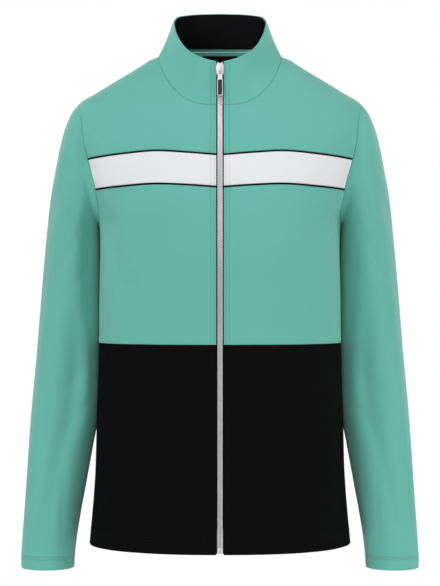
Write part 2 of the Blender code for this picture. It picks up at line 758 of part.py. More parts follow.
# ---------------------------------------------------------------- zip

def zip_line():
    """Rows up the left side of the zip: edge point and normal, next column's point and normal."""
    lower = [level_row(float(z)) for z in steps(HEM, BLOCK_SEAM, LOWER_ROWS)][:-1]
    places = lower + mid_rows() + band_rows() + yoke_rows()[:YOKE_ZIP_ROWS + 1]
    points, normals = body_grid([row[:2] for row in places])
    collar = collar_grid(COLLAR_ROWS)
    collar_out = collar_normals(collar)
    points = np.concatenate([points, collar[1:, :2]])
    normals = np.concatenate([normals, collar_out[1:, :2]])
    return np.concatenate([points, normals], axis=1)


def cut_line(line, low, high):
    """The part of the zip's line between two heights, with points made at its ends."""
    heights = line[:, 0, 2]

    def at(z):
        """The line's row at a height."""
        k = min(max(int(np.searchsorted(heights, z)) - 1, 0), len(line) - 2)
        share = (z - heights[k]) / (heights[k + 1] - heights[k])
        return line[k] + (line[k + 1] - line[k]) * share

    inside = [row for row in line if low + 0.001 < row[0, 2] < high - 0.001]
    return np.array([at(low)] + inside + [at(high)])


def flat_normal(normal):
    """A normal turned into the plane across the zip."""
    straight = normal * np.array([0, 1, 1])
    return straight / np.linalg.norm(straight)


def strip(name, line, near, far, outer, inner, finish, parent):
    """A strip along the zip between two x values and two depths below the surface."""
    sides = (min(near, far), max(near, far))
    grids = []
    for depth in (outer, inner):
        grids.append(np.array([[np.array([x, row[0, 1], row[0, 2]]) - flat_normal(row[2]) * depth
                                for x in sides] for row in line]))
    wall(name, *grids, finish, parent)


def tape(name, side, line, parent):
    """A zip tape, level beside the chain and then on the back of the front's first column."""
    share = (TAPE_REACH - line[:, 0, 0]) / (line[:, 1, 0] - line[:, 0, 0])
    far = line[:, 0] + (line[:, 1] - line[:, 0]) * share[:, None]
    far_normal = line[:, 2] + (line[:, 3] - line[:, 2]) * share[:, None]
    edge = line[:, 0].copy()
    near = edge.copy()
    near[:, 0] = CHAIN_WIDTH / 2 + SEAM_GAP
    edge_normal = np.array([flat_normal(n) for n in line[:, 2]])
    points = np.stack([near, edge, far], axis=1)
    normals = np.stack([edge_normal, edge_normal, far_normal], axis=1)
    grids = [points - normals * depth for depth in (TAPE_DEPTH, TAPE_DEPTH + TAPE_CLOTH)]
    if side < 0:
        grids = [mirrored(grid) for grid in grids]
    wall(name, *grids, BLACK, parent)


def build_zip(line, parent):
    """Tapes, closed chain, bottom box and top stops."""
    head = COLLAR_TOP[0][3]
    for side, word in ((1, "left"), (-1, "right")):
        tape("zip_tape_" + word, side, cut_line(line, HEM + 0.0015, head - 0.001), parent)
        strip("zip_top_stop_" + word, cut_line(line, SLIDER_TOP + SEAM_GAP, head),
              side * 0.0016, side * CHAIN_WIDTH / 2, CHAIN_FRONT, CHAIN_BACK, SILVER, parent)
    chain = cut_line(line, ZIP_FOOT + BOX_LENGTH + SEAM_GAP, SLIDER_TOP - POST * 2)
    strip("zip_chain", chain, -CHAIN_WIDTH / 2, CHAIN_WIDTH / 2, CHAIN_FRONT, CHAIN_BACK, SILVER, parent)
    half_box = CHAIN_WIDTH / 2 + 0.0001
    strip("zip_bottom_box", cut_line(line, ZIP_FOOT, ZIP_FOOT + BOX_LENGTH), -half_box, half_box,
          -0.0004, CHAIN_BACK, SILVER, parent)


def box_mesh(bm, x, y, z):
    """Add a box between pairs of bounds."""
    corners = [(i, j, k) for i in x for j in y for k in z]
    verts = [bm.verts.new(corner) for corner in corners]
    for face in ((0, 1, 3, 2), (4, 6, 7, 5), (0, 4, 5, 1), (2, 3, 7, 6), (0, 2, 6, 4), (1, 5, 7, 3)):
        bm.faces.new([verts[k] for k in face])
    bmesh.ops.recalc_face_normals(bm, faces=bm.faces)


def outline_solid(name, outline, low, high, axis):
    """Extrude a closed outline along x or y between two bounds."""
    bm = bmesh.new()
    place = {"x": lambda u, v, w: (w, u, v), "y": lambda u, v, w: (u, w, v)}[axis]
    near = [bm.verts.new(place(u, v, low)) for u, v in outline]
    far = [bm.verts.new(place(u, v, high)) for u, v in outline]
    bm.faces.new(near)
    bm.faces.new(far[::-1])
    for k in range(len(outline)):
        m = (k + 1) % len(outline)
        bm.faces.new([near[m], near[k], far[k], far[m]])
    bmesh.ops.recalc_face_normals(bm, faces=bm.faces)
    mesh = bpy.data.meshes.new(name)
    bm.to_mesh(mesh)
    bm.free()
    return mesh


def combine(target, meshes, operation):
    """Join helper meshes to an object, or cut them out of it."""
    for mesh in meshes:
        helper = bpy.data.objects.new(mesh.name + "_helper", mesh)
        bpy.context.collection.objects.link(helper)
        helper.parent = target.parent
        helper.hide_render = True
        helper.display_type = "WIRE"
        boolean = target.modifiers.new(mesh.name, "BOOLEAN")
        boolean.operation = operation
        boolean.object = helper
        boolean.solver = "EXACT"


def rounded(u0, v0, u1, v1, radius):
    """Outline of a rectangle with rounded corners."""
    outline = []
    for cu, cv, start in ((u1 - radius, v1 - radius, 0), (u0 + radius, v1 - radius, 90),
                          (u0 + radius, v0 + radius, 180), (u1 - radius, v0 + radius, 270)):
        for k in range(4):
            a = math.radians(start + 30 * k)
            outline.append((cu + radius * math.cos(a), cv + radius * math.sin(a)))
    return outline


def build_slider(frame):
    """Front and rear plates joined by a post, with the bridge that holds the pull."""
    top, foot, length = SLIDER_TOP_WIDTH / 2, SLIDER_FOOT_WIDTH / 2, SLIDER_LENGTH
    shoulder, corner = -0.0050, 0.0013
    plate = [(-foot, -length), (foot, -length), (top, shoulder), (top - corner, 0),
             (-top + corner, 0), (-top, shoulder)]
    face = -PLATE_LIFT - PLATE
    slider = add_object("zip_slider", outline_solid("zip_slider", plate, face, -PLATE_LIFT, "y"), SILVER, frame)
    rear_face = TAPE_DEPTH + TAPE_CLOTH + SEAM_GAP
    rear = outline_solid("rear_plate", [(u * 0.96, v * 0.98 - 0.0001) for u, v in plate],
                         rear_face, rear_face + REAR_PLATE, "y")
    sunk = 0.0003
    post_bm = bmesh.new()
    box_mesh(post_bm, (-POST / 2, POST / 2), (-PLATE_LIFT - sunk, rear_face + sunk), (-POST * 1.6, -POST * 0.6))
    post = bpy.data.meshes.new("post")
    post_bm.to_mesh(post)
    post_bm.free()
    crest = face - BRIDGE_RISE
    bridge_side = [(face + sunk, -0.0016), (crest, -0.0034), (crest, -length + 0.0028),
                   (face + sunk, -length + 0.0012), (face - 0.0001, -length + 0.0030),
                   (crest + BRIDGE_BAR, -length + 0.0040), (crest + BRIDGE_BAR, -0.0046),
                   (face - 0.0001, -0.0034)]
    bridge = outline_solid("bridge", bridge_side, -BRIDGE_WIDTH / 2, BRIDGE_WIDTH / 2, "x")
    combine(slider, [bridge, post, rear], "UNION")


def build_pull(frame):
    """The pull on its hinge line: an eye round the bridge, a link, and a framed tab with its insert."""
    half_bar, half_eye, half_tab = EYE_BAR / 2, EYE_WIDTH / 2, PULL_WIDTH / 2
    link = outline_solid("link", rounded(-half_eye, -LINK_LENGTH - 0.0006, half_eye, half_bar, 0.0006),
                         -half_bar, half_bar, "y")
    tab = outline_solid("zip_pull", rounded(-half_tab, -PULL_LENGTH, half_tab, -LINK_LENGTH, 0.0014),
                        -PULL_THICK / 2, PULL_THICK / 2, "y")
    pull = add_object("zip_pull", tab, SILVER, frame)
    side = half_eye - 0.0011
    hole = outline_solid("eye_hole", rounded(-side, -half_bar - EYE_HOLE_LENGTH, side, -half_bar, 0.0005),
                         -PULL_THICK, PULL_THICK, "y")
    window = (-half_tab + PULL_RIM, -PULL_LENGTH + PULL_RIM, half_tab - PULL_RIM, -LINK_LENGTH - PULL_RIM)
    pocket = outline_solid("pocket", rounded(*window, 0.0008), -PULL_THICK, PULL_THICK, "y")
    combine(pull, [link], "UNION")
    combine(pull, [hole, pocket], "DIFFERENCE")
    u0, v0, u1, v1 = window
    g = SEAM_GAP
    insert = outline_solid("zip_pull_insert", rounded(u0 + g, v0 + g, u1 - g, v1 - g, 0.0006),
                           -PULL_THICK / 2 - 0.0002, PULL_THICK / 2 + 0.0002, "y")
    add_object("zip_pull_insert", insert, RUBBER, frame)


# ---------------------------------------------------------------- assembly

def empty(name, location=(0, 0, 0), tilt=0.0, parent=None):
    """A guide empty that carries pieces."""
    obj = bpy.data.objects.new(name, None)
    obj.location = location
    obj.rotation_euler = (tilt, 0, 0)
    obj.parent = parent
    bpy.context.collection.objects.link(obj)
    return obj


def build_jacket():
    """Clear the scene and make every piece."""
    for obj in list(bpy.data.objects):
        bpy.data.objects.remove(obj)
    garment = empty("garment")
    for side, word in ((1, "left"), (-1, "right")):
        build_front(side, word, garment)
        build_sleeve(side, word, garment)
    back = build_back(garment)
    build_collar(garment)
    build_label(back, garment)
    line = zip_line()
    build_zip(line, garment)
    top = cut_line(line, SLIDER_TOP - SLIDER_LENGTH, SLIDER_TOP)
    point = top[-1, 0] * np.array([0, 1, 1])
    climb = top[-1, 0] - top[0, 0]
    lean = math.atan2(climb[1], climb[2])
    slider_frame = empty("slider_frame", point, -lean, garment)
    hinge = (0, -PLATE_LIFT - PLATE - (BRIDGE_RISE - BRIDGE_BAR) / 2, -HINGE_DROP)
    build_slider(slider_frame)
    build_pull(empty("pull_hinge", hinge, 0.0, slider_frame))


build_jacket()
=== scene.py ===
"""The sweat jacket dressed for the camera: fine cloth, sewing, zip teeth and finishes.

Metres, +Z up, front to -Y, the wearer's left at +X. Each cloth piece is a thin
shell on the same rings, seams and folds as its solid, with finer creases.
"""

import math

import bmesh
import bpy
import numpy as np
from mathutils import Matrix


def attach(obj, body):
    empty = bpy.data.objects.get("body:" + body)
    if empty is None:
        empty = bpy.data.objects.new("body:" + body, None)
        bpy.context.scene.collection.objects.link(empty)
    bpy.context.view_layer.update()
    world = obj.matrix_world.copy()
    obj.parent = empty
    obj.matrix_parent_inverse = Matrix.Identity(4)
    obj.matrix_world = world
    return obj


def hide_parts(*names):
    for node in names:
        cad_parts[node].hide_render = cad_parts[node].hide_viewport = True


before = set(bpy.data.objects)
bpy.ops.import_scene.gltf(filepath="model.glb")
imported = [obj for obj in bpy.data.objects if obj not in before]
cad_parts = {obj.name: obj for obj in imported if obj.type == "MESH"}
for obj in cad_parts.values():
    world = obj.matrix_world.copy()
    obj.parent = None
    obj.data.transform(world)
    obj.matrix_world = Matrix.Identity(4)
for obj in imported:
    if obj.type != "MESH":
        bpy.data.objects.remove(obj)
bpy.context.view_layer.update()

# ---------------------------------------------------------------- sizes of the cut

CLOTH = 0.0018              # thickness of the knit
FACING_CLOTH = 0.0013
FACING_GAP = 0.0007         # between the collar and its facing
LABEL_CLOTH = 0.0010
TAPE_CLOTH = 0.0011
SEAM_GAP = 0.0003           # between two of the solids' pieces
SEWN_GAP = 0.0001           # between two pieces of the cloth here, drawn tight by the thread
HEM = -0.6535
BLOCK_SEAM = -0.385         # where the colours change
UNDERARM = -0.228
SHOULDER_TIP = -0.0635
PIPING_WIDTH = 0.0022
PIPING_PROUD = 0.0012       # how far the cord stands out of its seam
PIPING_ROOM = PIPING_WIDTH / 2 + SEWN_GAP
CHAIN_WIDTH = 0.0064
ZIP_OPENING = 0.0098        # between the folded edges of the fronts
ZIP_FOOT = HEM + 0.0020
BOX_LENGTH = 0.0070
SLIDER_TOP = -0.0195
TAPE_REACH = 0.0140
TAPE_DEPTH = CLOTH + 0.0007
LABEL_HALF_WIDTH = 0.025
LABEL_FOOT = -0.0151
LABEL_HEAD = 0.0117
LABEL_DEPTH = CLOTH + SEAM_GAP + 0.0001
ROUNDNESS = 2.3             # of the body's rings; an ellipse has 2
BODY_RADIUS = 0.15          # folds are measured across on tubes of these radii
SLEEVE_RADIUS = 0.05
HIGH_SHOULDER = 0.60        # turn of the neck seam at the high shoulder point
SHOULDER_END = 0.6          # turn of the armhole where the shoulder seam ends
ZIP_TURN = 0.026            # turn of the neck seam at the zip
BAND_END = 62               # angle of the armhole near the chest band
CREASE_FREE = 4             # degrees beside the zip without creases
CREASE_GROWTH = 8           # and degrees over which they grow
ZIP_STITCHES = (0.0076, 0.0118)     # half widths of the rows beside the zip
HEM_STITCHES = (0.0170, 0.0205)     # heights of the rows above the hem
CUFF_STITCHES = (0.0140, 0.0172)    # and above the cuffs
ZIP_STITCH_FOOT = HEM + 0.004       # ends of the rows beside the zip: a height, and a
ZIP_STITCH_HEAD = 0.985             # share of the collar's height
FACING_STITCHES = 0.955             # share of the collar's height of the facing's row
SIDES = (("left", 1), ("right", -1))

BODY_RINGS = [
    # height, half_width, front, back
    (0.0400, 0.0640, 0.0200, 0.0600), (0.0160, 0.0735, 0.0270, 0.0660),
    (0.0075, 0.0800, 0.0320, 0.0700), (0.0000, 0.0830, 0.0370, 0.0735),
    (-0.0045, 0.0950, 0.0400, 0.0755), (-0.0095, 0.1025, 0.0430, 0.0775),
    (-0.0176, 0.1154, 0.0485, 0.0815), (-0.0338, 0.1410, 0.0585, 0.0885),
    (-0.0500, 0.1667, 0.0690, 0.0945), (-0.0635, 0.1885, 0.0770, 0.0985),
    (-0.0745, 0.1965, 0.0830, 0.1015), (-0.0850, 0.1995, 0.0880, 0.1040),
    (-0.1000, 0.2005, 0.0945, 0.1070), (-0.1200, 0.1985, 0.1030, 0.1105),
    (-0.1400, 0.1925, 0.1095, 0.1130), (-0.1600, 0.1855, 0.1145, 0.1145),
    (-0.1800, 0.1785, 0.1190, 0.1150), (-0.2000, 0.1716, 0.1220, 0.1150),
    (-0.2150, 0.1660, 0.1235, 0.1143), (-0.2280, 0.1627, 0.1240, 0.1135),
    (-0.2450, 0.1615, 0.1240, 0.1124), (-0.2620, 0.1612, 0.1240, 0.1110),
    (-0.3150, 0.1622, 0.1200, 0.1050),
    (-0.3850, 0.1627, 0.1160, 0.1000), (-0.4400, 0.1640, 0.1150, 0.1000),
    (-0.4900, 0.1658, 0.1155, 0.1020), (-0.5520, 0.1674, 0.1165, 0.1060),
    (-0.5850, 0.1694, 0.1175, 0.1080), (-0.6170, 0.1721, 0.1185, 0.1100),
    (-0.6600, 0.1762, 0.1200, 0.1120),
]

NECK_SEAM = [
    # turn, x, height
    (0.00, 0.0000, -0.0745), (0.12, 0.0227, -0.0730), (0.24, 0.0436, -0.0660),
    (0.36, 0.0612, -0.0495), (0.48, 0.0762, -0.0243), (0.60, 0.0830, 0.0000),
    (0.70, 0.0775, 0.0080), (0.80, 0.0600, 0.0125), (0.90, 0.0330, 0.0152),
    (1.00, 0.0000, 0.0160),
]

COLLAR_TOP = [
    # turn, x, y, height
    (0.00, 0.0000, -0.0760, -0.0175), (0.12, 0.0230, -0.0730, -0.0110),
    (0.24, 0.0420, -0.0600, 0.0005), (0.36, 0.0548, -0.0390, 0.0180),
    (0.48, 0.0615, -0.0130, 0.0365), (0.60, 0.0632, 0.0120, 0.0495),
    (0.70, 0.0592, 0.0330, 0.0595), (0.80, 0.0468, 0.0495, 0.0645),
    (0.90, 0.0255, 0.0590, 0.0675), (1.00, 0.0000, 0.0615, 0.0685),
]
FACING_FOOT = 0.0875       # share of the collar's height left bare below the facing
FACING_HEAD = 0.985
FACING_TURN = 0.080        # where the facing's front edges stop, beside the zip tapes
COLLAR_HOLLOW = 0.0016

BAND_SEAMS = [
    # x, upper, lower
    (0.000, -0.1410, -0.1830), (0.040, -0.1375, -0.1800), (0.083, -0.1348, -0.1780),
    (0.125, -0.1375, -0.1800), (0.200, -0.1450, -0.1850),
]

ARMHOLE_CENTRE = 0.004
ARMHOLE_HALF_DEPTH = 0.058
ARMHOLE_EGG = 0.08
ARMHOLE_ROUNDNESS = 2.5

SLEEVE_RINGS = [
    # outer_x, outer_z, inner_x, inner_z, middle_y, half_depth
    (0.1990, -0.0755, 0.1638, -0.2290, 0.0045, 0.0595), (0.2083, -0.0960, 0.1632, -0.2300, 0.0055, 0.0612),
    (0.2158, -0.1230, 0.1626, -0.2325, 0.0075, 0.0625), (0.2220, -0.1530, 0.1618, -0.2365, 0.0100, 0.0632),
    (0.2280, -0.1830, 0.1610, -0.2435, 0.0130, 0.0632), (0.2322, -0.2130, 0.1604, -0.2550, 0.0165, 0.0628),
    (0.2355, -0.2430, 0.1600, -0.2710, 0.0200, 0.0615), (0.2388, -0.2730, 0.1598, -0.2920, 0.0230, 0.0598),
    (0.2417, -0.3040, 0.1600, -0.3170, 0.0252, 0.0578), (0.2446, -0.3360, 0.1597, -0.3440, 0.0265, 0.0558),
    (0.2472, -0.3680, 0.1597, -0.3720, 0.0270, 0.0538), (0.2498, -0.4000, 0.1600, -0.4010, 0.0265, 0.0518),
    (0.2524, -0.4300, 0.1606, -0.4300, 0.0250, 0.0498), (0.2547, -0.4600, 0.1620, -0.4600, 0.0225, 0.0478),
    (0.2568, -0.4880, 0.1652, -0.4880, 0.0195, 0.0458), (0.2585, -0.5150, 0.1705, -0.5150, 0.0160, 0.0440),
    (0.2603, -0.5450, 0.1758, -0.5450, 0.0115, 0.0420), (0.2620, -0.5780, 0.1815, -0.5780, 0.0060, 0.0398),
    (0.2638, -0.6120, 0.1875, -0.6120, 0.0000, 0.0376), (0.2656, -0.6450, 0.1925, -0.6450, -0.0060, 0.0356),
    (0.2666, -0.6700, 0.1950, -0.6700, -0.0105, 0.0343), (0.2664, -0.6855, 0.1955, -0.6855, -0.0130, 0.0338),
]
SLEEVE_ROUNDNESS = 2.15
SLEEVE_CLEAR = 0.0007       # least space between a hanging sleeve and the body
SLEEVE_SHRINK = 0.0002      # the sleeve's head is this much smaller than the armhole
SLEEVE_LIFT = 0.0001        # and this much further out
CAP_RINGS = 4               # rings over which the sleeve leaves the armhole's roundness

# The solids' broad folds, then the finer creases that only the cloth here shows.
BODY_FOLDS = [
    # angle, height, tilt, half_length, half_width, depth
    (62, -0.250, 35, 0.070, 0.016, -0.0022), (-58, -0.262, -30, 0.080, 0.018, -0.0026),
    (48, -0.330, 20, 0.080, 0.026, 0.0016), (-44, -0.350, -16, 0.090, 0.024, -0.0018),
    (30, -0.560, 4, 0.090, 0.030, 0.0022), (-34, -0.575, -5, 0.085, 0.028, -0.0020),
    (66, -0.590, 3, 0.080, 0.022, -0.0022), (-70, -0.580, -3, 0.085, 0.024, 0.0020),
    (128, -0.300, -40, 0.080, 0.020, -0.0028), (-124, -0.310, 38, 0.085, 0.021, -0.0028),
    (150, -0.420, -10, 0.110, 0.026, 0.0026), (-156, -0.440, 12, 0.110, 0.026, 0.0024),
    (178, -0.360, 85, 0.070, 0.018, -0.0024), (165, -0.590, 3, 0.085, 0.026, -0.0024),
    (-140, -0.600, -4, 0.085, 0.026, -0.0022),
]
BODY_CREASES = [
    # angle, height, tilt, half_length, half_width, depth
    (58, -0.205, 28, 0.045, 0.0070, -0.0010), (-60, -0.212, -24, 0.052, 0.0075, -0.0012),
    (50, -0.236, 42, 0.040, 0.0065, -0.0008), (-49, -0.240, -38, 0.036, 0.0060, -0.0007),
    (-36, -0.300, 62, 0.042, 0.0080, -0.0006), (33, -0.318, -66, 0.038, 0.0080, -0.0005),
    (70, -0.330, 10, 0.055, 0.0090, -0.0010), (-72, -0.345, -8, 0.060, 0.0090, -0.0011),
    (22, -0.255, 74, 0.040, 0.0085, 0.0005), (-20, -0.275, -76, 0.045, 0.0090, -0.0005),
    (40, -0.085, 46, 0.036, 0.0085, -0.0008), (-42, -0.090, -44, 0.040, 0.0080, -0.0008),
    (56, -0.118, 58, 0.028, 0.0070, -0.0006), (-55, -0.112, -60, 0.030, 0.0070, 0.0005),
    (52, -0.440, 8, 0.060, 0.0110, -0.0009), (-50, -0.455, -7, 0.066, 0.0120, 0.0009),
    (20, -0.480, -10, 0.055, 0.0100, -0.0007), (-22, -0.520, 8, 0.060, 0.0110, -0.0008),
    (72, -0.500, -5, 0.060, 0.0095, -0.0010), (-75, -0.470, 6, 0.052, 0.0090, -0.0009),
    (110, -0.250, -30, 0.055, 0.0085, -0.0013), (-108, -0.256, 28, 0.050, 0.0080, -0.0012),
    (120, -0.275, -46, 0.060, 0.0090, -0.0012), (-118, -0.286, 44, 0.058, 0.0085, -0.0011),
    (140, -0.160, -70, 0.050, 0.0090, -0.0008), (-143, -0.170, 72, 0.048, 0.0095, -0.0009),
    (160, -0.205, -80, 0.052, 0.0085, 0.0007), (-165, -0.215, 82, 0.050, 0.0085, -0.0007),
    (172, -0.335, 80, 0.055, 0.0085, -0.0011), (-170, -0.352, -83, 0.060, 0.0090, -0.0012),
    (164, -0.372, 78, 0.045, 0.0075, -0.0009), (-176, -0.395, 88, 0.050, 0.0080, -0.0008),
    (135, -0.470, -12, 0.070, 0.0110, -0.0010), (-132, -0.500, 9, 0.066, 0.0110, -0.0009),
    (155, -0.540, -6, 0.070, 0.0120, 0.0009), (-160, -0.560, 7, 0.064, 0.0110, -0.0009),
    (100, -0.420, -6, 0.060, 0.0090, -0.0009), (-101, -0.440, 5, 0.064, 0.0090, -0.0009),
    (38, -0.3815, 90, 0.120, 0.0026, 0.0007), (-38, -0.3815, 90, 0.120, 0.0026, 0.0007),
    (-66, -0.158, 20, 0.030, 0.0050, -0.0009), (-60, -0.168, 34, 0.022, 0.0040, -0.0006),
    (62, -0.160, -24, 0.026, 0.0050, -0.0008), (180, -0.3815, 90, 0.300, 0.0026, 0.0006),
]
SLEEVE_FOLDS = [
    # turn, height, tilt, half_length, half_width, depth
    (70, -0.300, 8, 0.130, 0.013, -0.0030), (118, -0.390, -6, 0.120, 0.012, 0.0028),
    (95, -0.520, 6, 0.120, 0.012, -0.0024), (45, -0.450, 4, 0.110, 0.014, 0.0020),
    (60, -0.180, 25, 0.050, 0.014, -0.0022), (255, -0.330, 8, 0.120, 0.014, -0.0028),
    (290, -0.440, -8, 0.110, 0.014, 0.0026), (265, -0.570, 6, 0.090, 0.012, -0.0022),
    (300, -0.200, -22, 0.055, 0.015, -0.0024),
]
SLEEVE_CREASES = [
    # turn, height, tilt, half_length, half_width, depth
    (55, -0.245, 14, 0.060, 0.0060, -0.0008), (88, -0.262, 30, 0.034, 0.0055, -0.0010),
    (108, -0.300, 46, 0.030, 0.0055, -0.0010), (78, -0.372, -12, 0.050, 0.0065, 0.0008),
    (100, -0.438, 52, 0.026, 0.0060, -0.0010), (66, -0.455, -48, 0.028, 0.0060, -0.0009),
    (120, -0.476, 38, 0.030, 0.0060, -0.0009), (84, -0.500, -58, 0.024, 0.0055, 0.0007),
    (52, -0.560, 10, 0.060, 0.0065, -0.0007), (112, -0.600, -8, 0.055, 0.0060, -0.0009),
    (80, -0.630, 62, 0.022, 0.0050, -0.0007), (30, -0.330, 6, 0.080, 0.0080, -0.0008),
    (20, -0.520, -5, 0.080, 0.0080, 0.0007), (240, -0.265, -26, 0.040, 0.0060, -0.0012),
    (262, -0.295, -44, 0.034, 0.0060, -0.0010), (278, -0.430, 50, 0.030, 0.0060, -0.0012),
    (250, -0.452, -46, 0.032, 0.0065, -0.0012), (296, -0.478, 58, 0.028, 0.0060, -0.0010),
    (315, -0.380, 8, 0.080, 0.0085, -0.0009), (272, -0.610, -52, 0.026, 0.0055, -0.0009),
    (64, -0.330, 3, 0.200, 0.0170, 0.0022), (112, -0.350, 4, 0.190, 0.0150, -0.0026),
    (330, -0.560, -6, 0.070, 0.0080, -0.0007), (68, -0.135, 34, 0.030, 0.0060, -0.0007),
    (300, -0.128, -36, 0.032, 0.0065, -0.0008),
]
COLLAR_DENTS = [
    # turn (right side below 0), share of height, half_turn, half_height, depth
    (-0.24, 0.45, 0.050, 0.30, -0.0012), (-0.38, 0.30, 0.060, 0.26, -0.0011),
    (-0.12, 0.22, 0.040, 0.22, -0.0006), (0.22, 0.36, 0.055, 0.28, -0.0010),
    (0.40, 0.55, 0.060, 0.32, -0.0009), (0.74, 0.45, 0.070, 0.30, -0.0010),
    (-0.82, 0.50, 0.080, 0.28, -0.0010), (0.96, 0.35, 0.060, 0.25, -0.0007),
]

# ---------------------------------------------------------------- curves of the cut


def smooth_column(rows, column):
    """Function through one column of a table that never overshoots the rows."""
    table = np.array(sorted(rows), dtype=float)
    keys, values = table[:, 0], table[:, column]
    rises = np.diff(values) / np.diff(keys)
    slopes = np.concatenate([rises[:1], np.zeros(len(keys) - 2), rises[-1:]])
    before, after = rises[:-1], rises[1:]
    same = before * after > 0
    slopes[1:-1][same] = 2 * before[same] * after[same] / (before[same] + after[same])

    def at(key):
        """Value of the column at a key or at an array of keys."""
        key = np.clip(key, keys[0], keys[-1])
        i = np.clip(np.searchsorted(keys, key) - 1, 0, len(keys) - 2)
        span = keys[i + 1] - keys[i]
        t = (key - keys[i]) / span
        return (values[i] + (values[i + 1] - values[i]) * t * t * (3 - 2 * t)
                + span * t * (1 - t) * (slopes[i] * (1 - t) - slopes[i + 1] * t))

    return at


body_half_width = smooth_column(BODY_RINGS, 1)
body_front = smooth_column(BODY_RINGS, 2)
body_back = smooth_column(BODY_RINGS, 3)
neck_x = smooth_column(NECK_SEAM, 1)
neck_height = smooth_column(NECK_SEAM, 2)
collar_top = [smooth_column(COLLAR_TOP, k) for k in (1, 2, 3)]
band_seams = {"upper": smooth_column(BAND_SEAMS, 1), "lower": smooth_column(BAND_SEAMS, 2)}


def signed_power(value, exponent):
    """Power that keeps the sign, for rings between an ellipse and a rounded box."""
    return np.sign(value) * np.abs(value) ** exponent


def unit(vectors):
    """Vectors of the same directions, one long."""
    return vectors / np.linalg.norm(vectors, axis=-1, keepdims=True)


def fold_height(folds, turn, height, radius):
    """Sum of the soft folds at places on a tube of the given radius."""
    total = np.zeros(np.broadcast(turn, height).shape)
    for fold_turn, fold_z, tilt, half_length, half_width, depth in folds:
        across = np.radians((turn - fold_turn + 180) % 360 - 180) * radius
        along = height - fold_z
        c, s = math.cos(math.radians(tilt)), math.sin(math.radians(tilt))
        u = (across * c - along * s) / half_width
        v = (across * s + along * c) / half_length
        total += depth * np.exp(-u * u - v ** 4)
    return total


def body_depth(z, front):
    """Depth of the body's ring before or behind the side seams."""
    return np.where(front, body_front(z), body_back(z))


def body_side(y, z):
    """Half width of the body at a depth y."""
    share = np.minimum(np.abs(y) / body_depth(z, y < 0), 1.0)
    return body_half_width(z) * (1 - share ** ROUNDNESS) ** (1 / ROUNDNESS)


def angle_at_x(x, z, front):
    """Angle round the body, 0 at the centre front, of the point at half width x."""
    angle = np.degrees(np.arcsin(np.minimum(x / body_half_width(z), 1.0) ** (ROUNDNESS / 2)))
    return np.where(front, angle, 180 - angle)


def angle_at_y(y, z):
    """Angle round the body of the point at depth y."""
    share = np.minimum(np.abs(y) / body_depth(z, y < 0), 1.0)
    off_side = np.degrees(np.arcsin(share ** (ROUNDNESS / 2)))
    return np.where(y < 0, 90 - off_side, 90 + off_side)


def body_cloth(places):
    """Outer points and outward normals of the body's cloth at (angle, height) places."""
    angle, z = places[..., 0], places[..., 1]
    s, c = np.sin(np.radians(angle)), np.cos(np.radians(angle))
    front = c > 0
    width, depth = body_half_width(z), body_depth(z, front)
    u, v = signed_power(s, 2 / ROUNDNESS), signed_power(c, 2 / ROUNDNESS)
    point = np.stack([width * u, -depth * v, z], axis=-1)
    step = 0.001
    widen = (body_half_width(z + step) - body_half_width(z - step)) / (2 * step)
    deepen = (body_depth(z + step, front) - body_depth(z - step, front)) / (2 * step)
    normal = unit(np.stack([
        signed_power(u, ROUNDNESS - 1) / width,
        -signed_power(v, ROUNDNESS - 1) / depth,
        -(np.abs(u) ** ROUNDNESS * widen / width + np.abs(v) ** ROUNDNESS * deepen / depth),
    ], axis=-1))
    off_zip = np.abs((angle + 180) % 360 - 180)
    beside_zip = np.clip((off_zip - CREASE_FREE) / CREASE_GROWTH, 0, 1)
    creases = fold_height(BODY_CREASES, angle, z, BODY_RADIUS) * beside_zip
    rise = fold_height(BODY_FOLDS, angle, z, BODY_RADIUS) + creases
    return point + normal * rise[..., None], normal


# ---------------------------------------------------------------- seams


def armhole(turn, shrink=0.0):
    """Places of the armhole, 0 at the shoulder tip, 90 in front, 180 under the arm."""
    middle = (SHOULDER_TIP + UNDERARM) / 2
    half_height = (SHOULDER_TIP - UNDERARM) / 2 - shrink
    c = signed_power(np.cos(np.radians(turn)), 2 / ARMHOLE_ROUNDNESS)
    s = signed_power(np.sin(np.radians(turn)), 2 / ARMHOLE_ROUNDNESS)
    z = middle + half_height * c
    y = -(ARMHOLE_HALF_DEPTH - shrink) * (1 - ARMHOLE_EGG * c) * s + ARMHOLE_CENTRE * s * s
    return np.stack([angle_at_y(y, z), z], axis=-1)


def armhole_turn_at(z):
    """Turn of the armhole's front point at a height, by halving."""
    low, high = 0.0, 180.0
    for _ in range(40):
        middle = (low + high) / 2
        if armhole(middle)[1] > z:
            low = middle
        else:
            high = middle
    return low


def zip_edge(z):
    """Places on the front's folded edge beside the zip."""
    z = np.asarray(z, dtype=float)
    return np.stack([angle_at_x(ZIP_OPENING / 2, z, True), z], axis=-1)


def band_height(angle, seam):
    """Height of a chest band seam at angles round the body."""
    z = np.full(np.shape(angle), float(band_seams[seam](0.08)))
    for _ in range(4):
        z = band_seams[seam](np.abs(body_cloth(np.stack([angle, z], axis=-1))[0][..., 0]))
    return z


back_neck_angle = smooth_column(
    [(turn, float(angle_at_x(x, z, False))) for turn, x, z in NECK_SEAM if turn >= HIGH_SHOULDER], 1)


def neck_place(turn):
    """Places of the neck seam, 0 at the zip and 1 at the centre back."""
    z = neck_height(turn)
    front = angle_at_x(neck_x(turn), z, True)
    return np.stack([np.where(turn < HIGH_SHOULDER, front, back_neck_angle(turn)), z], axis=-1)


def neck_edge(turn):
    """Places of a body panel's neck edge, a seam gap below the collar."""
    places = neck_place(turn)
    at_zip = turn <= ZIP_TURN
    places[..., 0] = np.where(at_zip, zip_edge(places[..., 1])[..., 0], places[..., 0])
    places[..., 1] -= SEWN_GAP
    return places


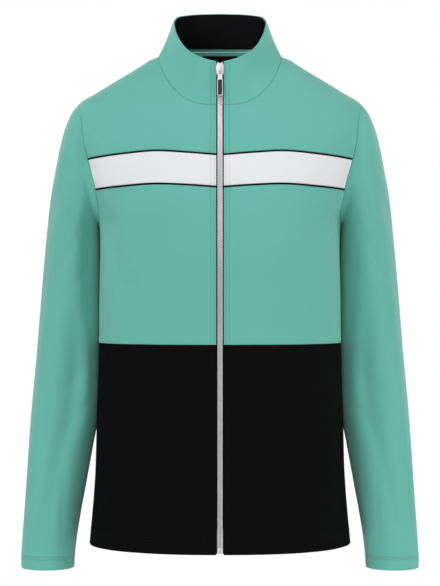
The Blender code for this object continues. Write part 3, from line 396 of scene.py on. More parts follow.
def seam_turn(seam, offset):
    """Turn of the armhole where a chest band seam meets it."""
    return armhole_turn_at(float(band_height(np.array(float(BAND_END)), seam)) + offset)


def level_row(z, columns):
    """Level row of places across one front, from the zip to the side seam."""
    side = np.array([float(angle_at_y(-SEWN_GAP / 2, z)), z])
    return np.linspace(zip_edge(z), side, columns + 1)


def seam_row(seam, offset, columns):
    """Row of places across one front along a chest band seam, moved up or down."""
    end = armhole(seam_turn(seam, offset))
    row = np.linspace(zip_edge(end[1]), end, columns + 1)
    row[:, 1] = band_height(row[:, 0], seam) + offset
    row[0] = [float(zip_edge(row[0, 1])[0]), row[0, 1]]
    row[-1] = end
    return row


def shoulder_row(front, columns):
    """Places along the shoulder seam from the high shoulder point to the tip."""
    z = np.linspace(neck_edge(np.array(HIGH_SHOULDER))[1], armhole(SHOULDER_END)[1], columns + 1)
    gap = -SEWN_GAP / 2 if front else SEWN_GAP / 2
    return np.stack([angle_at_y(np.full_like(z, gap), z), z], axis=-1)


def four_sided(bottom, top, left, right):
    """Places of a four-sided patch blended from its four edges."""
    v = np.linspace(0, 1, len(left))[:, None, None]
    u = np.linspace(0, 1, len(bottom))[None, :, None]
    edges = (1 - v) * bottom[None] + v * top[None] + (1 - u) * left[:, None] + u * right[:, None]
    corners = ((1 - v) * ((1 - u) * bottom[0] + u * bottom[-1])
               + v * ((1 - u) * top[0] + u * top[-1]))
    return edges - corners


# ---------------------------------------------------------------- panels as grids of places

FRONT_COLUMNS = 55
BAND_ROWS = 14
MID_ROWS = (32, 12)         # below and above the underarm
LOWER_ROWS = 56
YOKE_ROWS = (16, 28)        # up the zip, and along the neck seam
BACK_COLUMNS = (20, 24)     # tip to high shoulder point, and on to the centre back
BACK_ROWS = 50              # above the underarm
SLEEVE_COLUMNS = 96
SLEEVE_STEP = 5             # rows between two of the sleeve's rings
COLLAR_ROWS = 24
COLLAR_COLUMNS = (40, 36)   # zip to high shoulder point, and on to the centre back
LINE_POINTS = (260, 24)     # up the body and up the collar, for a line of stitches or the zip
LABEL_GRID = (12, 24)       # rows and columns
PIPING_COLUMNS = 110
PIPING_ROWS = 8
PIPING_SINK = 0.0003        # of the cord's two sides, below the cloth's face
PIPING_END = 3              # columns over which the cord runs out into the armhole
HEM_COLUMNS = 120
LOWER_HEIGHTS = np.linspace(HEM, BLOCK_SEAM - SEWN_GAP / 2, LOWER_ROWS + 1)
MID_HEIGHTS = np.linspace(BLOCK_SEAM + SEWN_GAP / 2, UNDERARM, MID_ROWS[0] + 1)


def lower_front():
    """Black panel of one front, hem to colour-block seam."""
    return np.array([level_row(z, FRONT_COLUMNS) for z in LOWER_HEIGHTS])


def mid_front():
    """Green panel of one front, colour-block seam to chest band."""
    low = np.array([level_row(z, FRONT_COLUMNS) for z in MID_HEIGHTS])
    top = seam_row("lower", -PIPING_ROOM, FRONT_COLUMNS)
    left = zip_edge(np.linspace(UNDERARM, top[0, 1], MID_ROWS[1] + 1))
    right = armhole(np.linspace(180, seam_turn("lower", -PIPING_ROOM), MID_ROWS[1] + 1))
    right[0] = low[-1, -1]
    return np.concatenate([low[:-1], four_sided(low[-1], top, left, right)])


def band_front():
    """White chest band of one front, between its pipings."""
    low = seam_row("lower", PIPING_ROOM, FRONT_COLUMNS)
    high = seam_row("upper", -PIPING_ROOM, FRONT_COLUMNS)
    left = zip_edge(np.linspace(low[0, 1], high[0, 1], BAND_ROWS + 1))
    turns = np.linspace(seam_turn("lower", PIPING_ROOM), seam_turn("upper", -PIPING_ROOM),
                        BAND_ROWS + 1)
    return four_sided(low, high, left, armhole(turns))


def yoke_front():
    """Green yoke of one front, chest band to neck and shoulder seams."""
    low = seam_row("upper", PIPING_ROOM, FRONT_COLUMNS)
    neck = neck_edge(np.linspace(ZIP_TURN, HIGH_SHOULDER, YOKE_ROWS[1] + 1))
    beside_zip = zip_edge(np.linspace(low[0, 1], neck[0, 1], YOKE_ROWS[0] + 1))
    left = np.concatenate([beside_zip[:-1], neck])
    right = armhole(np.linspace(seam_turn("upper", PIPING_ROOM), SHOULDER_END, sum(YOKE_ROWS) + 1))
    top = shoulder_row(True, FRONT_COLUMNS)
    left[-1], right[-1] = top[0], top[-1]
    return four_sided(low, top, left, right)


def whole_back(rows):
    """Rows of the left half carried on across the right half."""
    right = rows[:, -2::-1].copy()
    right[..., 0] = 360 - right[..., 0]
    return np.concatenate([rows, right], axis=1)


def back_row(z):
    """Level row across the left half of the back, side seam to centre back."""
    side = [float(angle_at_y(SEWN_GAP / 2, z)), z]
    return np.linspace(side, [180, z], sum(BACK_COLUMNS) + 1)


def lower_back():
    """Black panel of the back."""
    return whole_back(np.array([back_row(z) for z in LOWER_HEIGHTS]))


def upper_back():
    """Green panel of the back, colour-block seam to neck and shoulder seams."""
    low = np.array([back_row(z) for z in MID_HEIGHTS])
    shoulder = shoulder_row(False, BACK_COLUMNS[0])[::-1]
    neck = neck_edge(np.linspace(HIGH_SHOULDER, 1.0, BACK_COLUMNS[1] + 1))
    top = np.concatenate([shoulder, neck[1:]])
    left = armhole(np.linspace(180, 360 - SHOULDER_END, BACK_ROWS + 1))
    left[0], left[-1] = low[-1, 0], top[0]
    heights = np.linspace(UNDERARM, top[-1, 1], BACK_ROWS + 1)
    right = np.stack([np.full_like(heights, 180), heights], axis=-1)
    return whole_back(np.concatenate([low[:-1], four_sided(low[-1], top, left, right)]))


def on_side(side, grid):
    """A grid of places, points or normals for the wearer's left (1), or flipped for the right (-1)."""
    if side > 0:
        return grid
    flipped = grid[:, ::-1].copy()
    flipped[..., 0] *= -1
    return flipped


# ---------------------------------------------------------------- sleeves and collar


def grid_normals(grid, closed):
    """Outward normals of a grid whose columns may close into a ring."""
    if closed:
        across = np.roll(grid, -1, axis=1) - np.roll(grid, 1, axis=1)
    else:
        across = np.gradient(grid, axis=1)
    return unit(np.cross(across, np.gradient(grid, axis=0)))


def rows_between(grid, count):
    """Extra rows on smooth curves through the rows of a grid."""
    padded = np.concatenate([2 * grid[:1] - grid[1:2], grid, 2 * grid[-1:] - grid[-2:-1]])
    rows = []
    for k in range(1, len(padded) - 2):
        a, b, c, d = padded[k - 1:k + 3]
        for step in range(count):
            t = step / count
            bend = 2 * a - 5 * b + 4 * c - d + t * (3 * (b - c) + d - a)
            rows.append(b + 0.5 * t * (c - a + t * bend))
    rows.append(grid[-1])
    return np.array(rows)


def sleeve_cloth():
    """Outer points and normals of the left sleeve, armhole to cuff."""
    turns = np.linspace(0, 360, SLEEVE_COLUMNS + 1)[:-1]
    point, rim = body_cloth(armhole(turns, SLEEVE_SHRINK))
    rings = [point + rim * SLEEVE_LIFT]
    for k, (outer_x, outer_z, inner_x, inner_z, middle_y, half_depth) in enumerate(SLEEVE_RINGS):
        near_armhole = max(0.0, 1 - k / CAP_RINGS)
        exponent = 2 / (SLEEVE_ROUNDNESS + (ARMHOLE_ROUNDNESS - SLEEVE_ROUNDNESS) * near_armhole)
        c = signed_power(np.cos(np.radians(turns)), exponent)
        s = signed_power(np.sin(np.radians(turns)), exponent)
        x = (outer_x + inner_x) / 2 + (outer_x - inner_x) / 2 * c
        y = middle_y - half_depth * s
        z = (outer_z + inner_z) / 2 + (outer_z - inner_z) / 2 * c
        rings.append(np.stack([np.maximum(x, body_side(y, z) + SLEEVE_CLEAR), y, z], axis=-1))
    grid = rows_between(np.array(rings), SLEEVE_STEP)
    normals = grid_normals(grid, True)
    rise = fold_height(SLEEVE_FOLDS + SLEEVE_CREASES, turns[None, :], grid[..., 2], SLEEVE_RADIUS)
    ease = np.minimum(1.0, np.arange(len(grid)) / (3 * SLEEVE_STEP))[:, None]
    grid = grid + normals * (rise * ease)[..., None]
    normals = grid_normals(grid, True)
    turned = np.maximum(0.0, 1 - np.sum(rim * normals[0], axis=1, keepdims=True))
    normals[0] = unit(rim + turned * normals[0])
    return grid, normals


def collar_surface(turns, sides, up):
    """Outer points of the stand collar at turns of the neck seam and shares of its height."""
    foot = body_cloth(neck_place(turns))[0] + np.array([0, 0, SEWN_GAP])
    head = np.stack([column(turns) for column in collar_top], axis=-1)
    points = foot + (head - foot) * up[..., None]
    sideways = np.sin(math.pi / 2 * np.minimum(turns / HIGH_SHOULDER, 1))
    hollow = COLLAR_HOLLOW * 4 * up * (1 - up) ** 1.5 * sideways
    for dent_turn, dent_up, half_turn, half_height, depth in COLLAR_DENTS:
        away = (turns * sides - dent_turn) / half_turn
        hollow = hollow - depth * np.exp(-away ** 2 - ((up - dent_up) / half_height) ** 2)
    points[..., :2] *= (1 - hollow / np.hypot(points[..., 0], points[..., 1]))[..., None]
    points[..., 0] = np.where(turns == ZIP_TURN, ZIP_OPENING / 2, points[..., 0]) * sides
    return points


def collar_cloth(low=0.0, high=1.0, first_turn=ZIP_TURN):
    """Outer points and normals of the collar, from the left front round to the right."""
    turns = np.concatenate([np.linspace(first_turn, HIGH_SHOULDER, COLLAR_COLUMNS[0] + 1),
                            np.linspace(HIGH_SHOULDER, 1, COLLAR_COLUMNS[1] + 1)[1:]])
    sides = np.concatenate([np.ones(len(turns)), -np.ones(len(turns) - 1)])
    turns = np.concatenate([turns, turns[-2::-1]])
    up = np.linspace(low, high, COLLAR_ROWS + 1)
    shape = (len(up), len(turns))
    grid = collar_surface(np.broadcast_to(turns, shape), np.broadcast_to(sides, shape),
                          np.broadcast_to(up[:, None], shape))
    normals = grid_normals(grid, False)
    outward = np.sum(normals * (grid - grid.mean(axis=(0, 1))))
    return grid, normals if outward > 0 else -normals


# ---------------------------------------------------------------- finishes


def feed(tree, socket, value):
    """Set a socket to a number, or link another socket to it."""
    if isinstance(value, (int, float)):
        socket.default_value = value
    elif value is not None:
        tree.links.new(value, socket)


def new_group(name, inputs, outputs):
    """A shader node group with a vector for each input of None: its tree, what it gets, what it gives."""
    group = bpy.data.node_groups.new(name, "ShaderNodeTree")
    for socket, value in inputs.items():
        kind = "NodeSocketVector" if value is None else "NodeSocketFloat"
        item = group.interface.new_socket(socket, in_out="INPUT", socket_type=kind)
        if value is not None:
            item.default_value = value
    for socket in outputs:
        group.interface.new_socket(socket, in_out="OUTPUT", socket_type="NodeSocketFloat")
    return group, group.nodes.new("NodeGroupInput").outputs, group.nodes.new("NodeGroupOutput").inputs


def calc(tree, operation, *operands):
    """A Math node; each operand is a socket or a number."""
    node = tree.nodes.new("ShaderNodeMath")
    node.operation = operation
    for socket, operand in zip(node.inputs, operands):
        feed(tree, socket, operand)
    return node.outputs[0]


def weighted(tree, *parts):
    """Sum of sockets, each times its weight."""
    scaled = [calc(tree, "MULTIPLY", socket, weight) for socket, weight in parts]
    total = scaled[0]
    for part in scaled[1:]:
        total = calc(tree, "ADD", total, part)
    return total


def noise(tree, vector, scale, detail, roughness=0.5):
    """Value of a Noise texture; scale is a number or a socket."""
    node = tree.nodes.new("ShaderNodeTexNoise")
    for name, value in (("Vector", vector), ("Scale", scale), ("Detail", detail), ("Roughness", roughness)):
        feed(tree, node.inputs[name], value)
    return node.outputs["Fac"]


def in_sizes(group, given, across, along):
    """The cloth's lengths across and along, each counted in a given size."""
    apart = group.nodes.new("ShaderNodeSeparateXYZ")
    group.links.new(given["Lengths"], apart.inputs[0])
    return (calc(group, "DIVIDE", apart.outputs[0], given[across]),
            calc(group, "DIVIDE", apart.outputs[1], given[along]))


def wave(group, turns, full=2 * math.pi):
    """Sine of a count of turns."""
    return calc(group, "SINE", calc(group, "MULTIPLY", turns, full))


def knit_group():
    """Knitted face: columns of small V stitches, uneven yarn, the height they stand up, and painted shade
    that darkens the low parts of that relief.
    """
    group, given, out = new_group("knit stitches", {"Lengths": None, "Wale": 0.0011, "Course": 0.0009},
                                  ("Height", "Hollow shade"))
    wale, course = in_sizes(group, given, "Wale", "Course")
    rib = calc(group, "ABSOLUTE", wave(group, wale, math.pi))
    off_middle = calc(group, "ABSOLUTE", calc(group, "SUBTRACT", calc(group, "FRACT", wale), 0.5))
    loop = wave(group, calc(group, "ADD", course, calc(group, "MULTIPLY", off_middle, 1.6)))
    yarn = noise(group, given["Lengths"], 900.0, 2.0)
    height = weighted(group, (rib, 0.6), (loop, 0.25), (yarn, 0.35))
    feed(group, out["Height"], height)
    # Painted shade: the colour is darkened where the knit's relief is low.
    feed(group, out["Hollow shade"], calc(group, "MULTIPLY_ADD", height, 0.14, 0.88))
    return group


def mottle_group():
    """Cloth that has been handled: broad soft patches and fine fuzz, from 0 to 1."""
    group, given, out = new_group("cloth mottle", {"Position": None, "Patch": 9.0}, ("Patches", "Fuzz"))
    feed(group, out["Patches"], noise(group, given["Position"], given["Patch"], 3.0, 0.55))
    feed(group, out["Fuzz"], noise(group, given["Position"], 420.0, 3.0, 0.6))
    return group


def metal_group():
    """Tumbled plating: fine rub marks and duller hollows."""
    group, given, out = new_group("tumbled plating", {"Position": None}, ("Rub", "Dull"))
    feed(group, out["Rub"], noise(group, given["Position"], 900.0, 4.0, 0.65))
    feed(group, out["Dull"], noise(group, given["Position"], 160.0, 2.0))
    return group


def weave_group():
    """Narrow woven tape: small twill ridges along and across, with painted shade that darkens the low parts
    between them.
    """
    group, given, out = new_group("tape weave", {"Lengths": None, "Thread": 0.0006}, ("Height", "Hollow shade"))
    across, along = in_sizes(group, given, "Thread", "Thread")
    twill = wave(group, calc(group, "ADD", across, along), math.pi)
    ridge = calc(group, "ABSOLUTE", wave(group, across, math.pi))
    height = weighted(group, (twill, 0.3), (ridge, 0.5))
    feed(group, out["Height"], height)
    # Painted shade: the colour is darkened where the weave's relief is low.
    feed(group, out["Hollow shade"], calc(group, "MULTIPLY_ADD", height, 0.25, 0.8))
    return group


KNIT, MOTTLE, PLATING, WEAVE = knit_group(), mottle_group(), metal_group(), weave_group()


def new_material(name, roughness, metallic=0.0, sheen=0.0, specular=0.3):
    """A Principled material with its constant values; returns it with its tree and shader."""
    material = bpy.data.materials.new(name)
    material.use_nodes = True
    shader = material.node_tree.nodes["Principled BSDF"]
    for socket, value in (("Roughness", roughness), ("Metallic", metallic), ("Sheen Weight", sheen),
                          ("Sheen Roughness", 0.55), ("Specular IOR Level", specular)):
        shader.inputs[socket].default_value = value
    return material, material.node_tree, shader


def use_group(tree, group, **values):
    """Outputs of a placed node group; each value is a number or a socket."""
    node = tree.nodes.new("ShaderNodeGroup")
    node.node_tree = group
    for name, value in values.items():
        feed(tree, node.inputs[name], value)
    return node.outputs


def place_in_garment(tree):
    """Socket of the point's own place."""
    return tree.nodes.new("ShaderNodeTexCoord").outputs["Object"]


def mottled(tree, patch):
    """Patches and fuzz at a point's own place."""
    return use_group(tree, MOTTLE, Position=place_in_garment(tree), Patch=patch)


def cloth_lengths(tree):
    """Socket of the cloth's own lengths, in metres."""
    lengths = tree.nodes.new("ShaderNodeUVMap")
    lengths.uv_map = "lengths"
    return lengths.outputs["UV"]


def mix_colours(tree, share, first, second):
    """Mix of two colours by a socket."""
    node = tree.nodes.new("ShaderNodeMix")
    node.data_type = "RGBA"
    tree.links.new(share, node.inputs["Factor"])
    node.inputs["A"].default_value = (*first, 1)
    node.inputs["B"].default_value = (*second, 1)
    return node.outputs["Result"]


def shaded(tree, colour, shade):
    """A colour darkened by a value: the painted shade of a relief's hollows."""
    node = tree.nodes.new("ShaderNodeMix")
    node.data_type = "RGBA"
    node.blend_type = "MULTIPLY"
    node.inputs["Factor"].default_value = 1.0
    tree.links.new(colour, node.inputs["A"])
    tree.links.new(shade, node.inputs["B"])
    return node.outputs["Result"]


def dress(tree, shader, colour, relief, rough=None):
    """Link a colour, a relief (height, depth, strength) and a roughness (value, span, least)."""
    tree.links.new(colour, shader.inputs["Base Color"])
    if rough:
        tree.links.new(calc(tree, "MULTIPLY_ADD", *rough), shader.inputs["Roughness"])
    bump = tree.nodes.new("ShaderNodeBump")
    for name, value in zip(("Height", "Distance", "Strength"), relief):
        feed(tree, bump.inputs[name], value)
    tree.links.new(bump.outputs["Normal"], shader.inputs["Normal"])


def knit_finish(name, light, dark, roughness, sheen, wale=0.0011, course=0.0009, depth=0.00012, specular=0.2):
    """Double-knit cloth in two shades of one colour, darkened by painted shade in the hollows of its
    stitches.
    """
    material, tree, shader = new_material(name, roughness, sheen=sheen, specular=specular)
    mottle = mottled(tree, 9.0)
    knit = use_group(tree, KNIT, Lengths=cloth_lengths(tree), Wale=wale, Course=course)
    patches = calc(tree, "MULTIPLY_ADD", mottle["Patches"], 0.6, 0.1)
    share = calc(tree, "ADD", patches, calc(tree, "MULTIPLY", mottle["Fuzz"], 0.3))
    dress(tree, shader, shaded(tree, mix_colours(tree, share, light, dark), knit["Hollow shade"]),
          (knit["Height"], depth, 0.55), (mottle["Fuzz"], 0.12, roughness - 0.06))
    return material


def woven_finish(name, light, dark, roughness, thread, specular=0.3):
    """Tightly woven tape, label or piping, darkened by painted shade in the hollows of its weave."""
    material, tree, shader = new_material(name, roughness, specular=specular)
    weave = use_group(tree, WEAVE, Lengths=cloth_lengths(tree), Thread=thread)
    fuzz = mottled(tree, 30.0)["Fuzz"]
    dress(tree, shader, shaded(tree, mix_colours(tree, fuzz, light, dark), weave["Hollow shade"]),
          (weave["Height"], thread * 0.3, 0.6), (fuzz, 0.15, roughness - 0.07))
    return material


def thread_finish(name, light, dark, sheen=0.2, specular=0.35):
    """Twisted sewing thread."""
    material, tree, shader = new_material(name, 0.6, sheen=sheen, specular=specular)
    mottle = mottled(tree, 200.0)
    dress(tree, shader, mix_colours(tree, mottle["Patches"], light, dark), (mottle["Fuzz"], 0.0001, 0.5))
    return material


def plated_finish(name, light, dark, low, high):
    """Nickel-plated zip metal, tumbled to a soft shine."""
    material, tree, shader = new_material(name, low, metallic=0.8, specular=0.5)
    plating = use_group(tree, PLATING, Position=place_in_garment(tree))
    dress(tree, shader, mix_colours(tree, plating["Dull"], light, dark),
          (plating["Rub"], 0.00004, 0.4), (plating["Rub"], high - low, low))
    return material


def rubber_finish(name, light, dark):
    """Soft moulded rubber with a fine grain."""
    material, tree, shader = new_material(name, 0.5, specular=0.4)
    mottle = mottled(tree, 300.0)
    dress(tree, shader, mix_colours(tree, mottle["Patches"], light, dark),
          (mottle["Fuzz"], 0.00005, 0.5), (mottle["Fuzz"], 0.2, 0.4))
    return material


GREEN_KNIT = knit_finish("green double-knit", (0.140, 0.480, 0.408), (0.114, 0.422, 0.356), 0.88, 0.20)
WHITE_KNIT = knit_finish("white double-knit", (0.80, 0.80, 0.83), (0.73, 0.735, 0.765), 0.88, 0.15)
BLACK_KNIT = knit_finish("black double-knit", (0.0042, 0.0042, 0.0046), (0.0026, 0.0026, 0.0030),
                         0.9, 0.0, specular=0.05)
FACING_JERSEY = knit_finish("black collar jersey", (0.0060, 0.0058, 0.0068), (0.0040, 0.0040, 0.0046),
                            0.9, 0.0, wale=0.0009, course=0.0007, depth=0.00009, specular=0.06)
PIPING_CORD = woven_finish("black piping", (0.0046, 0.0046, 0.0050), (0.0028, 0.0028, 0.0032), 0.7, 0.0008,
                           specular=0.08)
LABEL_SATIN = woven_finish("bare woven label", (0.0060, 0.0060, 0.0066), (0.0036, 0.0036, 0.0040),
                           0.5, 0.0005, specular=0.15)
ZIP_TAPE = woven_finish("zip tape", (0.0060, 0.0060, 0.0066), (0.0036, 0.0036, 0.0040), 0.8, 0.0008,
                        specular=0.06)
ZIP_BEAD = woven_finish("zip bead", (0.40, 0.40, 0.41), (0.28, 0.28, 0.29), 0.6, 0.0006)
NICKEL = plated_finish("nickel plate", (0.74, 0.725, 0.72), (0.60, 0.595, 0.59), 0.40, 0.56)
PULL_RUBBER = rubber_finish("pull rubber", (0.012, 0.012, 0.013), (0.007, 0.007, 0.008))
# Painted shade: the green thread is darker than the cloth and stands for the shadow of the grooves the
# stitches sink into. The real thread matches the cloth.
GROOVE_SHADED_GREEN_THREAD = thread_finish("green thread painted with groove shade", (0.050, 0.215, 0.175), (0.032, 0.150, 0.122))
# Painted shade: the white thread is grey, darker than the band, and stands for the shadow of the grooves its
# stitches sink into.
GROOVE_SHADED_WHITE_THREAD = thread_finish("white thread painted grey with groove shade", (0.52, 0.52, 0.55), (0.42, 0.42, 0.45))
BLACK_THREAD = thread_finish("black thread", (0.0062, 0.0062, 0.0067), (0.0038, 0.0038, 0.0042),
                             sheen=0.0, specular=0.08)

# ---------------------------------------------------------------- cloth as shells

EDGE_ROLL = [
    # from the edge, turned in
    (0.0000, 0.00042), (0.0003, 0.00022), (0.0007, 0.00009), (0.0012, 0.00002), (0.0018, 0.0),
]


def new_mesh(name, points, faces):
    """A mesh of points and faces."""
    mesh = bpy.data.meshes.new(name)
    mesh.from_pydata(points.tolist(), [], faces)
    return mesh


def place_piece(name, mesh, material, node=None, body="garment", sharp=45):
    """Link a mesh as a smooth-shaded piece: what it rides on and the solid it stands for."""
    mesh.materials.append(material)
    mesh.shade_smooth()
    mesh.set_sharp_from_angle(angle=math.radians(sharp))
    piece = bpy.data.objects.new(name, mesh)
    bpy.context.collection.objects.link(piece)
    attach(piece, body)
    if node:
        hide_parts(node)


def edge_rows(points, normals):
    """The grid with rows added close to its first and last row, and how far each row turns in."""
    layers = []
    for layer in (points, normals):
        ends = []
        for edge, beside in ((0, 1), (-1, -2)):
            step = np.linalg.norm(points[beside] - points[edge], axis=-1, keepdims=True)
            step = np.maximum(step, EDGE_ROLL[-1][0] * 1.1)
            ends.append([layer[edge] + (layer[beside] - layer[edge]) * away / step for away, _ in EDGE_ROLL])
        layers.append(np.array(ends[0] + list(layer[1:-1]) + ends[1][::-1]))
    turned = [drop for _, drop in EDGE_ROLL]
    return layers[0], layers[1], np.array(turned + [0.0] * (len(points) - 2) + turned[::-1])


def grid_lengths(points, closed):
    """Lengths across and up a grid of points, in metres, for the knit to follow."""
    steps = np.linalg.norm(np.diff(points, axis=1), axis=2)
    across = np.concatenate([np.zeros((len(points), 1)), np.cumsum(steps, axis=1)], axis=1)
    if closed:
        across = np.broadcast_to(across[len(points) // 3], across.shape)
    rises = np.linalg.norm(np.diff(points, axis=0), axis=2)
    up = np.concatenate([np.zeros((1, points.shape[1])), np.cumsum(rises, axis=0)])
    return np.stack([across, up], axis=-1)


def shell_piece(name, points, normals, face, back, finish, slot, node=None, cut=None,
                closed=False, sharp=45):
    """A thin wall of cloth between two depths below a grid of points."""
    outer, inner = points - normals * face, points - normals * back
    rows, columns = outer.shape[:2]
    count = rows * columns
    index = np.arange(count).reshape(rows, columns)
    right = np.roll(index, -1, axis=1) if closed else index[:, 1:]
    left = index if closed else index[:, :-1]
    quads = np.stack([left[:-1], right[:-1], right[1:], left[1:]], axis=-1).reshape(-1, 4)
    if closed:
        loops = [index[0], index[-1][::-1]]
    else:
        loops = [np.concatenate([index[0], index[1:, -1], index[-1, -2::-1], index[-2:0:-1, 0]])]
    rims = [np.stack([np.roll(loop, -1), loop, loop + count, np.roll(loop, -1) + count], axis=-1)
            for loop in loops]
    faces = np.concatenate([quads, quads[:, ::-1] + count] + rims)
    both = np.concatenate([outer.reshape(-1, 3), inner.reshape(-1, 3)])
    mesh = new_mesh(name, both, faces.tolist())
    uv = np.concatenate([grid_lengths(points, closed).reshape(-1, 2)] * 2)
    layer = mesh.uv_layers.new(name="lengths")
    layer.data.foreach_set("uv", uv[faces.reshape(-1)].astype(np.float32).reshape(-1))
    corner, beside, above = (both[quads[:, k]] for k in (0, 1, 3))
    outward = np.cross(beside - corner, above - corner)
    if np.sum(outward * (outer - inner).reshape(-1, 3)[quads[:, 0]]) < 0:
        mesh.flip_normals()
    place_piece(name, mesh, finish, node, sharp=sharp)


def cloth_piece(name, points, normals, thickness, finish, slot, node, cut, closed=False):
    """A cut piece of cloth with turned-in edges."""
    points, normals, turned = edge_rows(points, normals)
    drop = np.broadcast_to(turned[:, None], points.shape[:2])
    if not closed:
        across = edge_rows(points.swapaxes(0, 1), normals.swapaxes(0, 1))
        points, normals = across[0].swapaxes(0, 1), across[1].swapaxes(0, 1)
        columns = np.concatenate([[0] * len(EDGE_ROLL), np.arange(1, drop.shape[1] - 1),
                                  [drop.shape[1] - 1] * len(EDGE_ROLL)]).astype(int)
        drop = np.maximum(drop[:, columns], across[2][None, :])
    shell_piece(name, points, normals, drop[..., None], thickness, finish, slot, node, cut, closed)


# ---------------------------------------------------------------- sewing

STITCH_RINGS = [
    # along the stitch, radius, lift (shares of the half length and the thread's radius)
    (-1.0, 0.35, -0.9), (-0.72, 0.95, 0.15), (0.0, 1.0, 0.35), (0.72, 0.95, 0.15), (1.0, 0.35, -0.9),
]
STITCH_SIDES = 5
STITCH_SHARE = 0.40         # half a stitch's length as a share of the spacing
STITCH_FLATNESS = 0.8


def tube_faces(rings, sides):
    """Quads between rings of points, each ring joined to the next."""
    return [(a + k, a + (k + 1) % sides, a + sides + (k + 1) % sides, a + sides + k)
            for a in range(0, (rings - 1) * sides, sides) for k in range(sides)]


def read_off(at, along, values):
    """Points or normals at lengths along a path."""
    return np.stack([np.interp(at, along, values[:, k]) for k in range(3)], axis=-1)


def even_points(path, normals, spacing):
    """Points, directions and normals at even spacing along a path."""
    steps = np.linalg.norm(np.diff(path, axis=0), axis=1)
    along = np.concatenate([[0], np.cumsum(steps)])
    at = np.arange(spacing / 2, along[-1], spacing)
    points, up = read_off(at, along, path), read_off(at, along, normals)
    ahead, behind = (read_off(at + reach, along, path) for reach in (spacing / 4, -spacing / 4))
    direction = unit(ahead - behind)
    up -= direction * np.sum(up * direction, axis=1, keepdims=True)
    return points, direction, unit(up)


def stitch_parts(path, normals, spacing, thread):
    """Points and faces of a line of stitches lying on the cloth."""
    points, direction, up = even_points(path, normals, spacing)
    side = np.cross(direction, up)
    around = (np.arange(STITCH_SIDES) * 2 * math.pi / STITCH_SIDES)[:, None]
    ring = np.cos(around) * side[:, None] + STITCH_FLATNESS * np.sin(around) * up[:, None]
    half = spacing * STITCH_SHARE
    rings = []
    for along, radius, lift in STITCH_RINGS:
        centre = points + direction * half * along + up * thread * lift
        rings.append(centre[:, None] + thread * radius * ring)
    starts = np.arange(len(points)) * len(STITCH_RINGS) * STITCH_SIDES
    faces = np.array(tube_faces(len(STITCH_RINGS), STITCH_SIDES))[None] + starts[:, None, None]
    return np.stack(rings, axis=1).reshape(-1, 3), faces.reshape(-1, 4)


def sew(name, lines, thread_colour, spacing=0.0032, thread=0.00030):
    """One piece made of several lines of stitches."""
    verts, faces, count = [], [], 0
    for path, normals in lines:
        line_verts, line_faces = stitch_parts(path, normals, spacing, thread)
        verts.append(line_verts)
        faces.append(line_faces + count)
        count += len(line_verts)
    mesh = new_mesh(name, np.concatenate(verts), np.concatenate(faces).tolist())
    place_piece(name, mesh, thread_colour, sharp=180)


def neck_turn_at_x(x):
    """Turn of the neck seam at a half width near the zip."""
    turns = np.linspace(0, 0.2, 400)
    return float(np.interp(x, neck_x(turns), turns))


def front_line(x, low=HEM, head=1.0):
    """Points and normals up one front at a half width, over the body and then the collar."""
    turn = ZIP_TURN if x <= ZIP_OPENING / 2 else neck_turn_at_x(x)
    z = np.linspace(low, float(neck_height(turn)) - SEAM_GAP, LINE_POINTS[0])
    points, normals = body_cloth(np.stack([angle_at_x(x, z, True), z], axis=-1))
    up = np.linspace(0, head, LINE_POINTS[1])
    collar, beside = (collar_surface(np.full(len(up), at), np.ones(len(up)), up)
                      for at in (turn, turn + 0.01))
    out = unit(np.cross(np.gradient(collar, axis=0), beside - collar))
    out *= -np.sign(out[:, 1:2])
    return np.concatenate([points, collar]), np.concatenate([normals, out])


def flip_x(line):
    """A line's points and normals on the wearer's right."""
    return line[0] * (-1, 1, 1), line[1] * (-1, 1, 1)


# ---------------------------------------------------------------- zip

TOOTH_PITCH = 0.0020
TOOTH_OUTLINE = [
    # across from the centre line, along the chain
    (0.00320, -0.00080), (0.00320, 0.00080), (0.00170, 0.00072), (0.00095, 0.00046),
    (0.00010, 0.00052), (-0.00050, 0.00030), (-0.00050, -0.00030), (0.00010, -0.00052),
    (0.00095, -0.00046), (0.00170, -0.00072),
]
TOOTH_LAYERS = [
    # depth below the cloth's face, share of the outline
    (0.0026, 0.85), (0.0023, 1.0), (0.0006, 1.0), (0.0002, 0.80),
]

TAPE_FOOT = HEM + 0.0015
TAPE_LINES = (CHAIN_WIDTH / 2 + SEAM_GAP, 0.0042, ZIP_OPENING / 2, 0.0070, 0.0095, 0.0118, TAPE_REACH)
BEAD_LINES = (0.0006, 0.0019, CHAIN_WIDTH / 2 + 0.0001)
BEAD_DEPTHS = (0.0011, 0.0019)
TEETH_FOOT = ZIP_FOOT + BOX_LENGTH + 0.0004
TEETH_HEAD = SLIDER_TOP - 0.0096
PATH_POINTS = 600
# Blocks: across, in from the cloth's face, along the zip, and the bevel.
BOX_BLOCK = ((-0.0033, 0.0033), (-0.0004, 0.0028), (-0.0035, 0.0035), 0.0004)
STOP_EDGES = (0.0016, 0.0032)
STOP_BLOCK = ((0.0002, 0.0028), (-0.0008, 0.0008), 0.0002)


def across_zip(normals):
    """Normals turned into the plane across the zip."""
    return unit(normals * (0, 1, 1))


def centre_path(low, high):
    """Centre line of the zip between two heights, with normals."""
    points, normals = front_line(ZIP_OPENING / 2)
    heights = np.linspace(low, high, PATH_POINTS)
    depths = np.interp(heights, points[:, 2], points[:, 1])
    path = np.stack([np.zeros(PATH_POINTS), depths, heights], axis=-1)
    return path, unit(read_off(heights, points[:, 2], across_zip(normals)))


